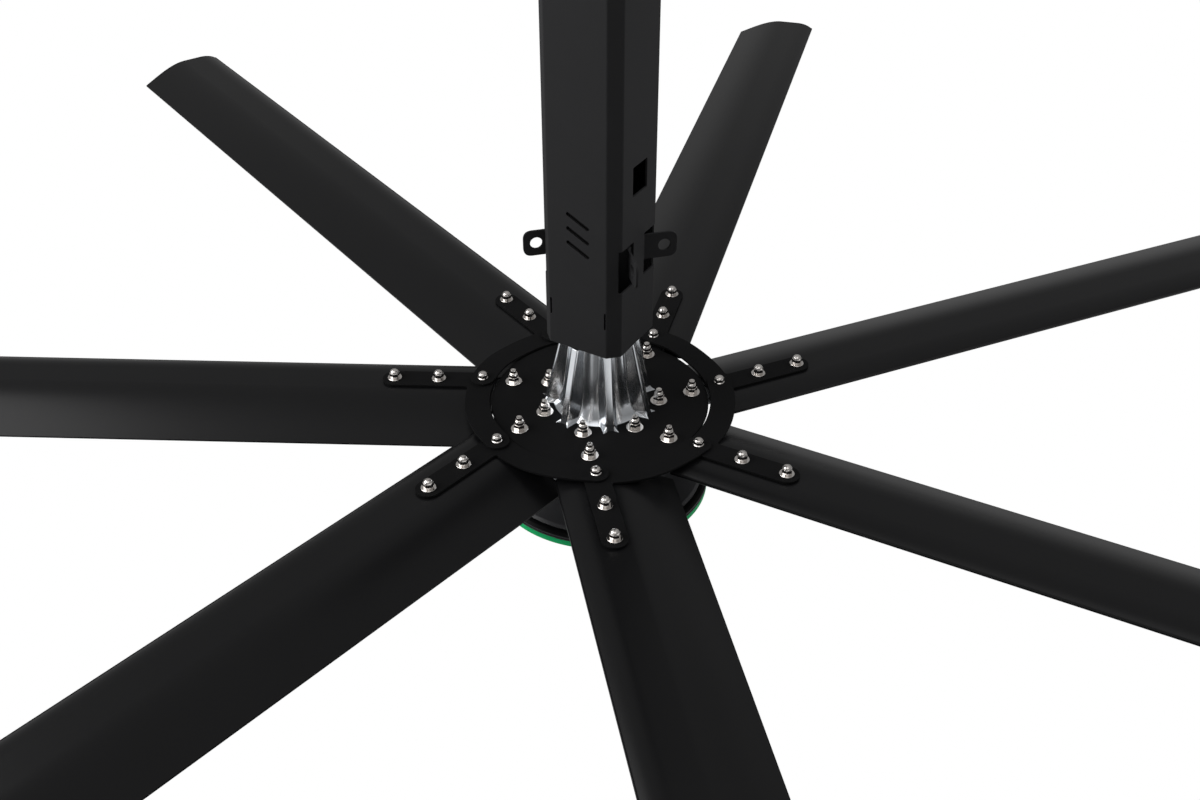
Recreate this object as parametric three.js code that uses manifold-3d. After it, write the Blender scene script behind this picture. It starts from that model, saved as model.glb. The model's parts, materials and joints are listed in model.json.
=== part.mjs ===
// High volume low speed ceiling fan: seven long hollow blades on a direct-drive hub,
// hung from the ceiling by a square steel column that carries four guy-wire ears.
// Millimetres, +Z up. The origin is the middle of the ceiling plate's upper face.
import * as THREE from 'three';
import { mergeVertices } from 'three/addons/utils/BufferGeometryUtils.js';
import Module from 'manifold-3d';

const wasm = await Module();
wasm.setup();

// Driving sizes
const drop = 800; // ceiling to the top of the hub disc
const clearance = 0.3; // between two pieces that seat on each other
const roundSides = 24; // of the wide turned shells
const shaftSides = 12; // of the shaft, the bearings and what they pass through
const overrun = 2; // how far a cutting tool passes the face it cuts
const bladeCount = 7;
const restAngle = THREE.MathUtils.degToRad(-48.9); // first blade, from +X
const fullTurn = 2 * Math.PI;
const bladeStep = fullTurn / bladeCount;

// Heights inside the rotor are measured from the top of the hub disc, heights of the
// hanging parts from the ceiling.
const plate = { length: 260, width: 190, thickness: 8, corner: 12, anchorRadius: 7, anchorInset: 22 };
const cheek = { thickness: 6, width: 96, height: 150, foot: 60, bend: 9, corner: 10 };
const column = { across: 116.8, cornerCut: 14.7, wall: 3, topGap: 14, bottomHeight: 118 };
const crossBolt = { radius: 6, topInset: 45, pitch: 60, washer: 12, washerThick: 2.5, head: 10.4, headHeight: 8 };
const footBolt = { radius: 5, spread: 56, head: 9.2, headHeight: 6.5, washer: 10, washerThick: 2, bite: 6 };
const vent = { length: 35, width: 3.6, pitch: 20.4, tilt: THREE.MathUtils.degToRad(25), offset: 1.2, height: 292 };
const sideHole = { width: 36, height: 40.5, height0: 363.5 };
const cornerNotch = { width: 2.4, height: 25, inset: 2.4, height0: 175 };
const earSlot = { inner: 14, outer: 47, height: 62, height0: 246.5 };
const ear = { thick: 3.2, height: 40, reach: 74, offAxis: 41.5, end: 19, corner: 11, eye: 9.8, eyeSides: 12, height0: 252.8 };
const endPlate = { thickness: 10, boltCircle: 36 };
const flange = { radius: 46, thickness: 10 };
const flangeBolt = { radius: 4.4, head: 7.5, headHeight: 7, count: 4 };
const shaft = { radius: 20, shoulder: 23, bore: 8, portRadius: 5, portHeight: 28 };
const bearing = { inner: 25.3, outerIn: 31, outer: 36, width: 14, ballCount: 6 };
const upperBearing = { height: 90 };
const lowerBearing = { height: -100 };
const driveUnit = { width: 84, depth: 62, length: 200, height0: 262, corner: 6 };
const cable = { radius: 6, sides: 8 };

const disc = { radius: 154, thickness: 4, hole: 66.2, notchSide: 0.6, boltHole: 4.9 };
const strut = { width: 32, thickness: 12, inner: 64, outer: 330, corner: 7, offset: 37.9, boltHole: 4.9 };
const casting = {
  flangeRadius: 142, flangeThickness: 10, base: 65.5, top: 112, neck: 41.5, wall: 8,
  mouth: 54, mouthHeight: 12, throat: 30, flareHeight: 25, flareRadius: 51.5,
};
const rib = {
  footReach: 82.5, footHalf: 10.8, rootHalf: 12, faceHalf: 4.5, faceFoot: 78.3, faceTop: 53.5,
  flareHeight: 8, topHalf: 8, shoulder: 2.2, shoulderHalf: 1.4,
};
const can = {
  radius: 105, wall: 10, depth: 103, floor: 10, chamfer: 4, boss: 44, bossTop: 81.5,
  brim: 141, brimThick: 8,
};
const stator = { outer: 86, teeth: 9, toothWidth: 18, yoke: 50, tip: 6, slotMouth: 6, top: 38, stack: 40 };
const coil = { inner: 56, outer: 79, wall: 8, overhang: 5, busInner: 60, busOuter: 70, busHeight: 3 };
const magnet = { inner: 87.4, width: 50, count: 8, length: 44, top: 36 };
const shaftNut = { outer: 28, height: 8 };
const topCap = { outer: 50, inner: 24, thickness: 2.6 };
const dish = {
  inner: 60, shoulder: 104, lip: 150, fall: 12.2, rim: 158.4, rimTop: 17.5, rimBottom: 31, wall: 3.2,
};
const dishScrew = { radius: 2.5, circle: 82, head: 4.5, headHeight: 3, bite: 6, count: 4 };
const spacerRing = { radius: 150.5, height: 2.8 };
const trim = { inner: 147.1, top: 150.9, bottom: 153, height: 8.4 };
const cover = { wall: 2.8, edge: 150.8, crown: 11, edgeHeight: 0.8 };

const blade = {
  root: 154, tip: 1525, crown: -1, leading: 91, trailing: 71.5, flatAft: 20, flatFore: 56,
  noseRadius: 4.3, noseDrop: 12.6, tailDrop: 34.4, tailThick: 2.4, wall: 3, cellClear: 1.5,
};
const upperAftShares = [[0, 0], [0.33, 0], [0.71, 0.61], [1, 1]]; // of the aft run and the tail drop
const upperForeShares = [[0, 0], [0.45, 0], [0.8, 0.45], [1, 1]]; // of the fore run and the nose drop
const coneShare = 0.6; // of the cone's taper spent by half its height
const coverShares = [[0.8, 0.36]]; // of the cover's radius and crown
const coverInnerShare = 0.78; // of its radius, where the inner face turns down
const bladeHole = 4.9;
const tipCap = { thickness: 4, plug: 14, plugClear: 0.6 };

// Bolt stations along a blade, all on the strut's centre line
const station = { discInner: 74.4, discOuter: 126.3, ring: 170.8, armInner: 234.8, armOuter: 298.9 };
const link = {
  thickness: 3.5, lift: 0.3, armWidth: 35, armEnd: 17.5, ringInner: 156.6, ringOuter: 191.7, lobe: 17.5, hole: 4.9,
  bendAngle: THREE.MathUtils.degToRad(28), bendRun: 7.6,
};
const bolt = { radius: 4.3, hex: 8.2, washer: 12, washerThick: 1.8, nutHeight: 12 };
const armBolt = { radius: 4.3, hex: 6.9, head: 10 };
const ringNut = { hex: 7.2, height: 8.5 };

// Derived sizes
const ringRadius = Math.hypot(station.ring, strut.offset);
const columnTop = -(plate.thickness + column.topGap);
const columnBottom = -drop + column.bottomHeight;
const halfColumn = column.across / 2;
const strutTop = -(disc.thickness + clearance);
const strutBottom = strutTop - strut.thickness;
const flangeTop = strutBottom - clearance;
const flangeBottom = flangeTop - casting.flangeThickness;
const canTop = flangeBottom - clearance;
const linkBottom = blade.crown + clearance;
const linkTop = linkBottom + link.thickness;
const lobeBottom = linkTop + link.lift;
const lobeTop = lobeBottom + link.thickness;
const canBottom = -can.depth;
const dishTop = canBottom - clearance;
const dishBottom = canBottom - dish.rimBottom;
const trimTop = dishBottom - clearance - spacerRing.height - clearance;
const trimBottom = trimTop - trim.height;
const coverWallOuter = trim.inner - clearance;
const coverWallInner = coverWallOuter - cover.wall;

// Materials, one for each finish
const finish = (color, roughness, metalness) =>
  new THREE.MeshStandardMaterial({ color, roughness, metalness });
const blackCoat = finish(0x2b2c2e, 0.5, 0.3);
const blackBlade = finish(0x303134, 0.38, 0.5);
const polishedAlloy = finish(0xb9bcc0, 0.25, 1);
const zinc = finish(0xd2d2cf, 0.25, 1);
const steel = finish(0x8d9094, 0.4, 1);
const greenTrim = finish(0x29a567, 0.45, 0);
const blackPlastic = finish(0x1f2022, 0.5, 0);
const copper = finish(0xb4703c, 0.4, 1);
const laminations = finish(0x5f6266, 0.55, 0.8);
const cableRubber = finish(0x18181a, 0.8, 0);

// Merges shared corners, drops triangles without area and turns the faces outwards.
function closed(source) {
  const bare = new THREE.BufferGeometry();
  bare.setAttribute('position', source.getAttribute('position').clone());
  if (source.index) bare.setIndex(source.index.clone());
  const merged = mergeVertices(bare, clearance / 300);
  const corners = merged.getAttribute('position').array;
  const order = merged.index.array;
  const kept = [];
  let volume = 0;
  const at = (i) => new THREE.Vector3().fromArray(corners, 3 * i);
  for (let i = 0; i < order.length; i += 3) {
    const [a, b, c] = [order[i], order[i + 1], order[i + 2]];
    if (a === b || b === c || c === a) continue;
    kept.push(a, b, c);
    volume += at(a).dot(at(b).cross(at(c)));
  }
  if (volume < 0) {
    for (let i = 0; i < kept.length; i += 3) {
      [kept[i], kept[i + 1]] = [kept[i + 1], kept[i]];
    }
  }
  merged.setIndex(kept);
  return merged;
}

function toSolid(geometry) {
  const clean = closed(geometry);
  return new wasm.Manifold(new wasm.Mesh({
    numProp: 3,
    vertProperties: new Float32Array(clean.getAttribute('position').array),
    triVerts: new Uint32Array(clean.index.array),
  }));
}

function toGeometry(solid) {
  const mesh = solid.getMesh();
  const geometry = new THREE.BufferGeometry();
  geometry.setAttribute('position', new THREE.BufferAttribute(mesh.vertProperties, mesh.numProp));
  geometry.setIndex(new THREE.BufferAttribute(mesh.triVerts, 1));
  return geometry;
}

const cut = (body, tools) =>
  toGeometry(tools.reduce((left, tool) => left.subtract(toSolid(tool)), toSolid(body)));
const join = (bodies) =>
  toGeometry(bodies.slice(1).reduce((sum, more) => sum.add(toSolid(more)), toSolid(bodies[0])));
const common = (a, b) => toGeometry(toSolid(a).intersect(toSolid(b)));

const moved = (geometry, x, y, z) => geometry.clone().translate(x, y, z);
const turned = (geometry, angle) => geometry.clone().rotateZ(angle);
const around = (geometry, count, first = 0) =>
  Array.from({ length: count }, (_, i) => turned(geometry, first + (i * fullTurn) / count));

// A flat outline given thickness between two heights
function slab(shape, low, high, curveSegments = 6) {
  const options = { depth: high - low, bevelEnabled: false, curveSegments };
  return new THREE.ExtrudeGeometry(shape, options).translate(0, 0, low);
}

// The same, with the outline standing in the YZ plane and the depth along X
function slabAlongX(shape, low, high, curveSegments = 6) {
  const upright = new THREE.Matrix4().makeBasis(
    new THREE.Vector3(0, 1, 0), new THREE.Vector3(0, 0, 1), new THREE.Vector3(1, 0, 0));
  const options = { depth: high - low, bevelEnabled: false, curveSegments };
  return new THREE.ExtrudeGeometry(shape, options).applyMatrix4(upright).translate(low, 0, 0);
}

const rod = (radius, low, high, sides) =>
  new THREE.CylinderGeometry(radius, radius, high - low, sides)
    .rotateX(Math.PI / 2).translate(0, 0, (low + high) / 2);
const rodAlongX = (radius, low, high, sides) =>
  new THREE.CylinderGeometry(radius, radius, high - low, sides)
    .rotateZ(Math.PI / 2).translate((low + high) / 2, 0, 0);
const block = (x, y, z) => new THREE.BoxGeometry(x, y, z);

// A closed profile of [radius, height] pairs turned about the Z axis
function turnedProfile(pairs, segments) {
  const points = pairs.map(([r, z]) => new THREE.Vector2(r, z));
  const onAxis = pairs[0][0] === 0 && pairs[pairs.length - 1][0] === 0;
  if (!onAxis) points.push(points[0].clone());
  return new THREE.LatheGeometry(points, segments).rotateX(Math.PI / 2);
}
const ring = (inner, outer, low, high, segments) =>
  turnedProfile([[inner, low], [outer, low], [outer, high], [inner, high]], segments);

// A fastener as stacked steps of [radius, top height], from its tip upwards
function stacked(low, steps, sides) {
  const pairs = [[0, low]];
  let base = low;
  for (const [radius, top] of steps) {
    pairs.push([radius, base], [radius, top]);
    base = top;
  }
  pairs.push([0, base]);
  return turnedProfile(pairs, sides);
}

const polygon = (pairs) => new THREE.Shape(pairs.map(([x, y]) => new THREE.Vector2(x, y)));

function roundedRect(width, height, corner) {
  const shape = new THREE.Shape();
  const x = width / 2 - corner;
  const y = height / 2 - corner;
  shape.absarc(x, y, corner, 0, Math.PI / 2);
  shape.absarc(-x, y, corner, Math.PI / 2, Math.PI);
  shape.absarc(-x, -y, corner, Math.PI, 1.5 * Math.PI);
  shape.absarc(x, -y, corner, 1.5 * Math.PI, fullTurn);
  return shape;
}

// A rectangle with its four corners cut at 45 degrees
function cutRect(length, width, cutLength) {
  const [x, y] = [length / 2, width / 2];
  const [nearX, nearY] = [x - cutLength, y - cutLength];
  return polygon([
    [x, -nearY], [x, nearY], [nearX, y], [-nearX, y], [-x, nearY], [-x, -nearY], [-nearX, -y], [nearX, -y],
  ]);
}
const cutSquare = (half, cutLength) => cutRect(2 * half, 2 * half, cutLength);

// A closed body through rings with the same number of points, each ring at one height
function loft(rings) {
  const count = rings[0].length;
  const corners = rings.flat();
  const order = [];
  for (let level = 0; level < rings.length - 1; level += 1) {
    for (let i = 0; i < count; i += 1) {
      const next = (i + 1) % count;
      const [a, b] = [level * count + i, level * count + next];
      order.push(a, b, b + count, a, b + count, a + count);
    }
  }
  const last = (rings.length - 1) * count;
  const flat = rings[0].map((p) => new THREE.Vector2(p.x, p.y));
  for (const [a, b, c] of THREE.ShapeUtils.triangulateShape(flat, [])) {
    order.push(c, b, a);
    order.push(last + a, last + b, last + c);
  }
  const geometry = new THREE.BufferGeometry().setFromPoints(corners);
  geometry.setIndex(order);
  return geometry;
}

// Hanging parts, fixed to the ceiling
const fixed = new THREE.Group();

function add(group, name, geometry, material) {
  const mesh = new THREE.Mesh(closed(geometry), material);
  mesh.name = name;
  group.add(mesh);
  return mesh;
}

function ceilingPlateBody() {
  const shape = roundedRect(plate.length, plate.width, plate.corner);
  const body = slab(shape, -plate.thickness, 0, 1);
  const tools = [];
  for (const sx of [-1, 1]) {
    for (const sy of [-1, 1]) {
      const x = sx * (plate.length / 2 - plate.anchorInset);
      const y = sy * (plate.width / 2 - plate.anchorInset);
      tools.push(moved(rod(plate.anchorRadius, -plate.thickness - overrun, overrun, 8), x, y, 0));
      const tapped = rod(footBolt.radius + 2 * clearance, -plate.thickness - overrun,
        -plate.thickness + footBolt.bite + clearance, 6);
      tools.push(moved(tapped, sx * footCentre, (sy * footBolt.spread) / 2, 0));
    }
  }
  return cut(body, tools);
}

const footTop = -(plate.thickness + clearance);
const footCentre = halfColumn + clearance + cheek.thickness + cheek.foot / 2;

// An angle bracket: its foot bolts up into the plate and its leg lies on the column's side
function cheekBody() {
  const inner = halfColumn + clearance;
  const outer = inner + cheek.thickness;
  const foot = outer + cheek.foot;
  const low = footTop - cheek.height;
  const bottom = footTop - cheek.thickness;
  const section = new THREE.Shape();
  section.moveTo(inner, low);
  section.lineTo(outer, low);
  section.lineTo(outer, bottom - cheek.bend);
  section.quadraticCurveTo(outer, bottom, outer + cheek.bend, bottom);
  section.lineTo(foot, bottom);
  section.lineTo(foot, footTop);
  section.lineTo(inner + cheek.bend, footTop);
  section.quadraticCurveTo(inner, footTop, inner, footTop - cheek.bend);
  const options = { depth: cheek.width, bevelEnabled: false, curveSegments: 3 };
  const body = new THREE.ExtrudeGeometry(section, options)
    .rotateX(Math.PI / 2).translate(0, cheek.width / 2, 0);
  const tools = crossHeights.map((z) =>
    moved(rodAlongX(crossBolt.radius + 2 * clearance, inner - overrun, outer + overrun, 6), 0, 0, z));
  for (const sy of [-1, 1]) {
    const hole = rod(footBolt.radius + 2 * clearance, bottom - overrun, footTop + overrun, 6);
    tools.push(moved(hole, footCentre, (sy * footBolt.spread) / 2, 0));
    const corner = cheek.corner;
    const clip = polygon([[-corner, -corner], [corner, -corner], [-corner, corner]]);
    const tool = slabAlongX(clip, inner - overrun, outer + overrun);
    if (sy > 0) tool.scale(1, -1, 1);
    tools.push(moved(tool, 0, (sy * cheek.width) / 2, low));
  }
  return cut(body, tools);
}

const crossHeights = [0, 1].map((i) => columnTop - crossBolt.topInset - i * crossBolt.pitch);

function crossBoltBody() {
  const face = halfColumn + clearance + cheek.thickness + clearance;
  const washer = face + crossBolt.washerThick;
  const end = washer + crossBolt.headHeight;
  const { radius, head } = crossBolt;
  return stacked(-end, [
    [head, -washer], [crossBolt.washer, -face], [radius, face], [crossBolt.washer, washer],
    [head, end], [radius, end + radius / 2],
  ], 6).rotateY(Math.PI / 2).rotateX(Math.PI / 2);
}

function footBoltBody() {
  const seat = footTop - cheek.thickness - clearance;
  const washerLow = seat - footBolt.washerThick;
  return stacked(washerLow - footBolt.headHeight, [
    [footBolt.head, washerLow], [footBolt.washer, seat],
    [footBolt.radius, -plate.thickness + footBolt.bite],
  ], 6);
}

// Square tube with cut corners, its louvres, wiring hole, ear slots and bolt holes
function columnBody() {
  const shape = cutSquare(halfColumn, column.cornerCut);
  const innerCut = column.cornerCut - column.wall * (2 - Math.SQRT2);
  shape.holes.push(cutSquare(halfColumn - column.wall, innerCut));
  const body = slab(shape, columnBottom, columnTop);
  const tools = crossHeights.map((z) =>
    moved(rodAlongX(crossBolt.radius + 2 * clearance, -column.across, column.across, 6), 0, 0, z));
  const depth = column.wall + 2 * overrun;
  const faceMiddle = halfColumn - column.wall / 2;
  for (const side of [-1, 1]) {
    for (const step of [-1, 0, 1]) {
      const slot = slab(cutRect(vent.length, vent.width, vent.width / 3), 0, depth);
      slot.rotateZ(-vent.tilt).rotateX(Math.PI / 2);
      slot.translate(vent.offset, -faceMiddle + depth / 2, 0);
      if (side > 0) slot.rotateZ(Math.PI);
      tools.push(moved(slot, 0, 0, -drop + vent.height - step * vent.pitch));
    }
    const wiring = block(depth, sideHole.width, sideHole.height);
    tools.push(moved(wiring, side * faceMiddle, 0, -drop + sideHole.height0));
    for (const sy of [-1, 1]) {
      const width = earSlot.outer - earSlot.inner;
      const reach = column.cornerCut + 2 * overrun;
      const slot = block(reach, width, earSlot.height);
      const x = side * (halfColumn + overrun - reach / 2);
      const y = sy * (earSlot.inner + width / 2);
      tools.push(moved(slot, x, y, -drop + earSlot.height0));
    }
    const notch = block(cornerNotch.width, depth, cornerNotch.height);
    const x = side * (halfColumn - column.cornerCut - cornerNotch.inset);
    tools.push(moved(notch, x, -faceMiddle, -drop + cornerNotch.height0));
  }
  return cut(body, tools);
}

// A bent plate behind the column's side wall whose two legs come out through the slots
const earLegs = {
  baseX: halfColumn - column.wall - clearance - ear.thick / 2,
};
earLegs.bendY = ear.offAxis - (ear.reach - earLegs.baseX);
earLegs.toEye = (ear.reach - earLegs.baseX) * Math.SQRT2;

function earBracketBody() {
  const { baseX, bendY, toEye } = earLegs;
  const base = block(ear.thick, 2 * bendY, ear.height).translate(baseX, 0, 0);
  const parts = [base];
  const length = toEye + ear.end;
  for (const side of [-1, 1]) {
    const shape = roundedRect(2 * length, ear.height, ear.corner);
    const eye = new THREE.EllipseCurve(toEye, 0, ear.eye, ear.eye, 0, fullTurn);
    shape.holes.push(new THREE.Path(eye.getPoints(ear.eyeSides)));
    const options = { depth: ear.thick, bevelEnabled: false, curveSegments: 2 };
    const leaf = new THREE.ExtrudeGeometry(shape, options).translate(0, 0, -ear.thick / 2);
    const keep = block(length + overrun, ear.height + overrun, ear.thick + overrun)
      .translate((length + overrun) / 2, 0, 0);
    const leg = common(leaf, keep).rotateX(Math.PI / 2).rotateZ((side * Math.PI) / 4);
    parts.push(moved(leg, baseX, side * bendY, 0));
    parts.push(moved(rod(ear.thick / 2, -ear.height / 2, ear.height / 2, 8), baseX, side * bendY, 0));
  }
  return moved(join(parts), 0, 0, -drop + ear.height0);
}

const endPlateTop = columnBottom + endPlate.thickness;
const shaftFlangeBottom = endPlateTop + clearance;
const shaftFlangeTop = shaftFlangeBottom + flange.thickness;

function endPlateBody() {
  const half = halfColumn - column.wall - clearance;
  const innerCut = column.cornerCut - column.wall * (2 - Math.SQRT2);
  const body = slab(cutSquare(half, innerCut), columnBottom, endPlateTop);
  const low = columnBottom - overrun;
  const high = endPlateTop + overrun;
  const hole = moved(rod(flangeBolt.radius + 2 * clearance, low, high, 6), endPlate.boltCircle, 0, 0);
  const tools = [rod(shaft.radius + 2 * clearance, low, high, shaftSides)];
  tools.push(...around(hole, flangeBolt.count, Math.PI / flangeBolt.count));
  return cut(body, tools);
}

const upperSeat = -drop + upperBearing.height;
const lowerSeat = -drop + lowerBearing.height;

function shaftBody() {
  const shoulderTop = upperSeat - clearance;
  const shoulderBottom = lowerSeat + bearing.width + clearance;
  const end = lowerSeat - shaftNut.height;
  const body = turnedProfile([
    [shaft.bore, end], [shaft.radius, end], [shaft.radius, shoulderBottom],
    [shaft.shoulder, shoulderBottom], [shaft.shoulder, shoulderTop], [shaft.radius, shoulderTop],
    [shaft.radius, shaftFlangeBottom], [flange.radius, shaftFlangeBottom],
    [flange.radius, shaftFlangeTop], [shaft.bore, shaftFlangeTop],
  ], shaftSides);
  const port = rodAlongX(shaft.portRadius, 0, shaft.shoulder + overrun, 6);
  const ported = cut(body, [moved(port, 0, 0, -drop - shaft.portHeight)]);
  return join([ported, ...flangeBoltBodies()]);
}

function flangeBoltBodies() {
  const one = stacked(columnBottom + clearance, [
    [flangeBolt.radius, shaftFlangeTop], [flangeBolt.head, shaftFlangeTop + flangeBolt.headHeight],
  ], 6);
  return around(moved(one, endPlate.boltCircle, 0, 0), flangeBolt.count, Math.PI / flangeBolt.count);
}

// Laminated core, one outline of yoke, teeth and shoes
function statorBody() {
  const shape = new THREE.Shape();
  const step = fullTurn / stator.teeth;
  const half = stator.toothWidth / 2;
  const shoe = stator.outer - stator.tip;
  const mouth = stator.slotMouth / 2 / stator.outer;
  for (let i = 0; i < stator.teeth; i += 1) {
    const centre = i * step;
    const local = [
      [stator.yoke, Math.asin(half / stator.yoke), -1], [shoe, Math.asin(half / shoe), -1],
      [stator.outer, step / 2 - mouth, -1], [stator.outer, 0, 0],
      [stator.outer, step / 2 - mouth, 1], [shoe, Math.asin(half / shoe), 1],
      [stator.yoke, Math.asin(half / stator.yoke), 1],
    ];
    for (const [radius, angle, side] of local) {
      const a = centre + side * angle;
      const [x, y] = [radius * Math.cos(a), radius * Math.sin(a)];
      if (shape.curves.length === 0 && shape.currentPoint.lengthSq() === 0) shape.moveTo(x, y);
      else shape.lineTo(x, y);
    }
  }
  shape.holes.push(new THREE.Path().absarc(0, 0, shaft.shoulder + clearance, 0, fullTurn));
  const top = -drop - stator.top;
  return slab(shape, top - stator.stack, top, shaftSides / 2);
}

// A coil round each tooth, all joined by the bus ring on their upper ends
function windingBody() {
  const hole = stator.toothWidth / 2 + clearance;
  const high = stator.stack / 2 + clearance;
  const end = high + coil.overhang;
  const rect = (x, y) => [[-x, -y], [x, -y], [x, y], [-x, y]];
  const shape = polygon(rect(hole + coil.wall, end));
  shape.holes.push(polygon(rect(hole, high)));
  const one = slabAlongX(shape, coil.inner, coil.outer);
  const middle = -drop - stator.top - stator.stack / 2;
  const top = middle + end;
  const bus = ring(coil.busInner, coil.busOuter, top - coil.overhang / 2, top + coil.busHeight, stator.teeth);
  return join([bus, ...around(moved(one, 0, 0, middle), stator.teeth)]);
}

// Ball bearings: an inner ring on the shaft, and an outer ring that carries the balls
function bearingInner(seat) {
  return ring(shaft.radius + clearance, bearing.inner, seat, seat + bearing.width, shaftSides);
}

function bearingOuter(seat) {
  const body = ring(bearing.outerIn, bearing.outer, seat, seat + bearing.width, shaftSides);
  const radius = (bearing.outerIn - bearing.inner - clearance) / 2;
  const pitch = bearing.inner + clearance + radius + clearance;
  const ball = new THREE.OctahedronGeometry(radius);
  const placed = moved(ball, pitch, 0, seat + bearing.width / 2);
  return join([body, ...around(placed, bearing.ballCount, Math.PI / shaftSides)]);
}

// The drive's sealed housing, screwed to the inside of the column's rear wall
function driveUnitBody() {
  const shape = roundedRect(driveUnit.width, driveUnit.depth, driveUnit.corner);
  const low = -drop + driveUnit.height0;
  const rear = halfColumn - column.wall - clearance;
  return moved(slab(shape, low, low + driveUnit.length, 1), 0, rear - driveUnit.depth / 2, 0);
}

// Motor lead, from the drive down the hollow shaft to its port
function cableBody() {
  const low = -drop - shaft.portHeight - shaft.portRadius;
  return rod(cable.radius, low, -drop + driveUnit.height0 - clearance, cable.sides);
}

add(fixed, 'ceiling_plate', ceilingPlateBody(), blackCoat);
const cheekGeometry = cheekBody();
add(fixed, 'mount_cheek_right', cheekGeometry, blackCoat);
add(fixed, 'mount_cheek_left', turned(cheekGeometry, Math.PI), blackCoat);
const footBoltGeometry = footBoltBody();
for (const [sideX, wordX] of [[1, 'right'], [-1, 'left']]) {
  for (const [sideY, wordY] of [[-1, 'front'], [1, 'rear']]) {
    const placed = moved(footBoltGeometry, sideX * footCentre, (sideY * footBolt.spread) / 2, 0);
    add(fixed, `foot_bolt_${wordX}_${wordY}`, placed, zinc);
  }
}
add(fixed, 'column_tube', columnBody(), blackCoat);
const crossBoltGeometry = crossBoltBody();
add(fixed, 'cross_bolt_upper', moved(crossBoltGeometry, 0, 0, crossHeights[0]), zinc);
add(fixed, 'cross_bolt_lower', moved(crossBoltGeometry, 0, 0, crossHeights[1]), zinc);
const earGeometry = earBracketBody();
add(fixed, 'guy_bracket_right', earGeometry, blackCoat);
add(fixed, 'guy_bracket_left', turned(earGeometry, Math.PI), blackCoat);
add(fixed, 'column_end_plate', endPlateBody(), steel);
add(fixed, 'motor_shaft', shaftBody(), steel);
add(fixed, 'stator_core', statorBody(), laminations);
add(fixed, 'stator_winding', windingBody(), copper);
add(fixed, 'upper_bearing_inner', bearingInner(upperSeat), steel);
add(fixed, 'lower_bearing_inner', bearingInner(lowerSeat), steel);
const nutLow = lowerSeat - shaftNut.height;
const nutBody = ring(shaft.radius + clearance, shaftNut.outer, nutLow, lowerSeat - clearance, shaftSides);
add(fixed, 'shaft_nut', nutBody, steel);
add(fixed, 'drive_unit', driveUnitBody(), polishedAlloy);
add(fixed, 'motor_cable', cableBody(), cableRubber);

// The rotor turns about Z; its own zero height is the top of the hub disc
const rotor = new THREE.Group();
rotor.position.set(0, 0, -drop);
rotor.rotation.z = restAngle;

const stations = [station.discInner, station.discOuter, station.ring, station.armInner, station.armOuter];
const onStrut = (geometry, along) => moved(geometry, along, -strut.offset, 0);
const everyBlade = (geometry) => around(geometry, bladeCount);

// One rib of the hub casting, from its flared foot up to the neck
function ribBody() {
  const level = (z, innerX, rootHalf, shoulderX, shoulderHalf, faceX) => [
    new THREE.Vector3(innerX, -rootHalf, z), new THREE.Vector3(shoulderX, -shoulderHalf, z),
    new THREE.Vector3(faceX, -rib.faceHalf, z), new THREE.Vector3(faceX, rib.faceHalf, z),
    new THREE.Vector3(shoulderX, shoulderHalf, z), new THREE.Vector3(innerX, rootHalf, z),
  ];
  const face = (z) => rib.faceFoot + (rib.faceTop - rib.faceFoot) * (z / casting.top);
  const sunk = flangeTop - casting.flangeThickness / 2;
  const inBase = casting.base - casting.wall;
  const half = rib.faceHalf + rib.shoulderHalf;
  const mid = rib.flareHeight / 3;
  const inFlare = casting.flareRadius - casting.wall / 2;
  const midReach = (rib.footReach + face(mid)) / 2;
  const midHalf = (rib.footHalf + half) / 2;
  return loft([
    level(sunk, inBase, rib.rootHalf, rib.footReach, rib.footHalf, rib.faceFoot),
    level(0, inBase, rib.rootHalf, rib.footReach, rib.footHalf, rib.faceFoot),
    level(mid, inBase, rib.rootHalf, midReach, midHalf, face(mid)),
    level(rib.flareHeight, inFlare, rib.rootHalf, face(rib.flareHeight) - rib.shoulder, half,
      face(rib.flareHeight)),
    level(casting.top, casting.neck - casting.wall / 4, rib.topHalf,
      rib.faceTop - rib.shoulder, half, rib.faceTop),
  ]);
}

// Ribbed hub casting: a flared cone on a wide flange, bored for the upper bearing
function castingBody() {
  const seat = bearing.outer + clearance;
  const seatFloor = upperBearing.height - clearance;
  const rise = casting.top - casting.flareHeight;
  const spread = casting.flareRadius - casting.neck;
  const outer = [
    [casting.flangeRadius, flangeBottom], [casting.flangeRadius, flangeTop],
    [casting.base, flangeTop], [casting.base, 0],
  ];
  const flare = new THREE.QuadraticBezierCurve(
    new THREE.Vector2(casting.base, 0),
    new THREE.Vector2(casting.flareRadius + casting.wall / 2, casting.flareHeight / 4),
    new THREE.Vector2(casting.flareRadius, casting.flareHeight));
  for (const p of flare.getPoints(2).slice(1)) outer.push([p.x, p.y]);
  outer.push([casting.flareRadius - spread * coneShare, casting.flareHeight + rise / 2]);
  outer.push([casting.neck, casting.top]);
  const inner = [
    [seat, casting.top], [seat, seatFloor], [casting.throat, seatFloor],
    [casting.throat, seatFloor - casting.wall], [casting.flareRadius - 2 * casting.wall, casting.flareHeight],
    [casting.mouth, -casting.mouthHeight], [casting.mouth, flangeBottom],
  ];
  const shell = turnedProfile([...outer, ...inner], 28);
  const body = join([shell, ...everyBlade(ribBody())]);
  const tapped = rod(disc.boltHole, flangeBottom + casting.wall / 4, flangeTop + overrun, 6);
  const through = rod(disc.boltHole, flangeBottom - overrun, flangeTop + overrun, 6);
  return cut(body, [
    ...everyBlade(onStrut(tapped, station.discInner)),
    ...everyBlade(onStrut(through, station.discOuter)),
  ]);
}

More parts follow.
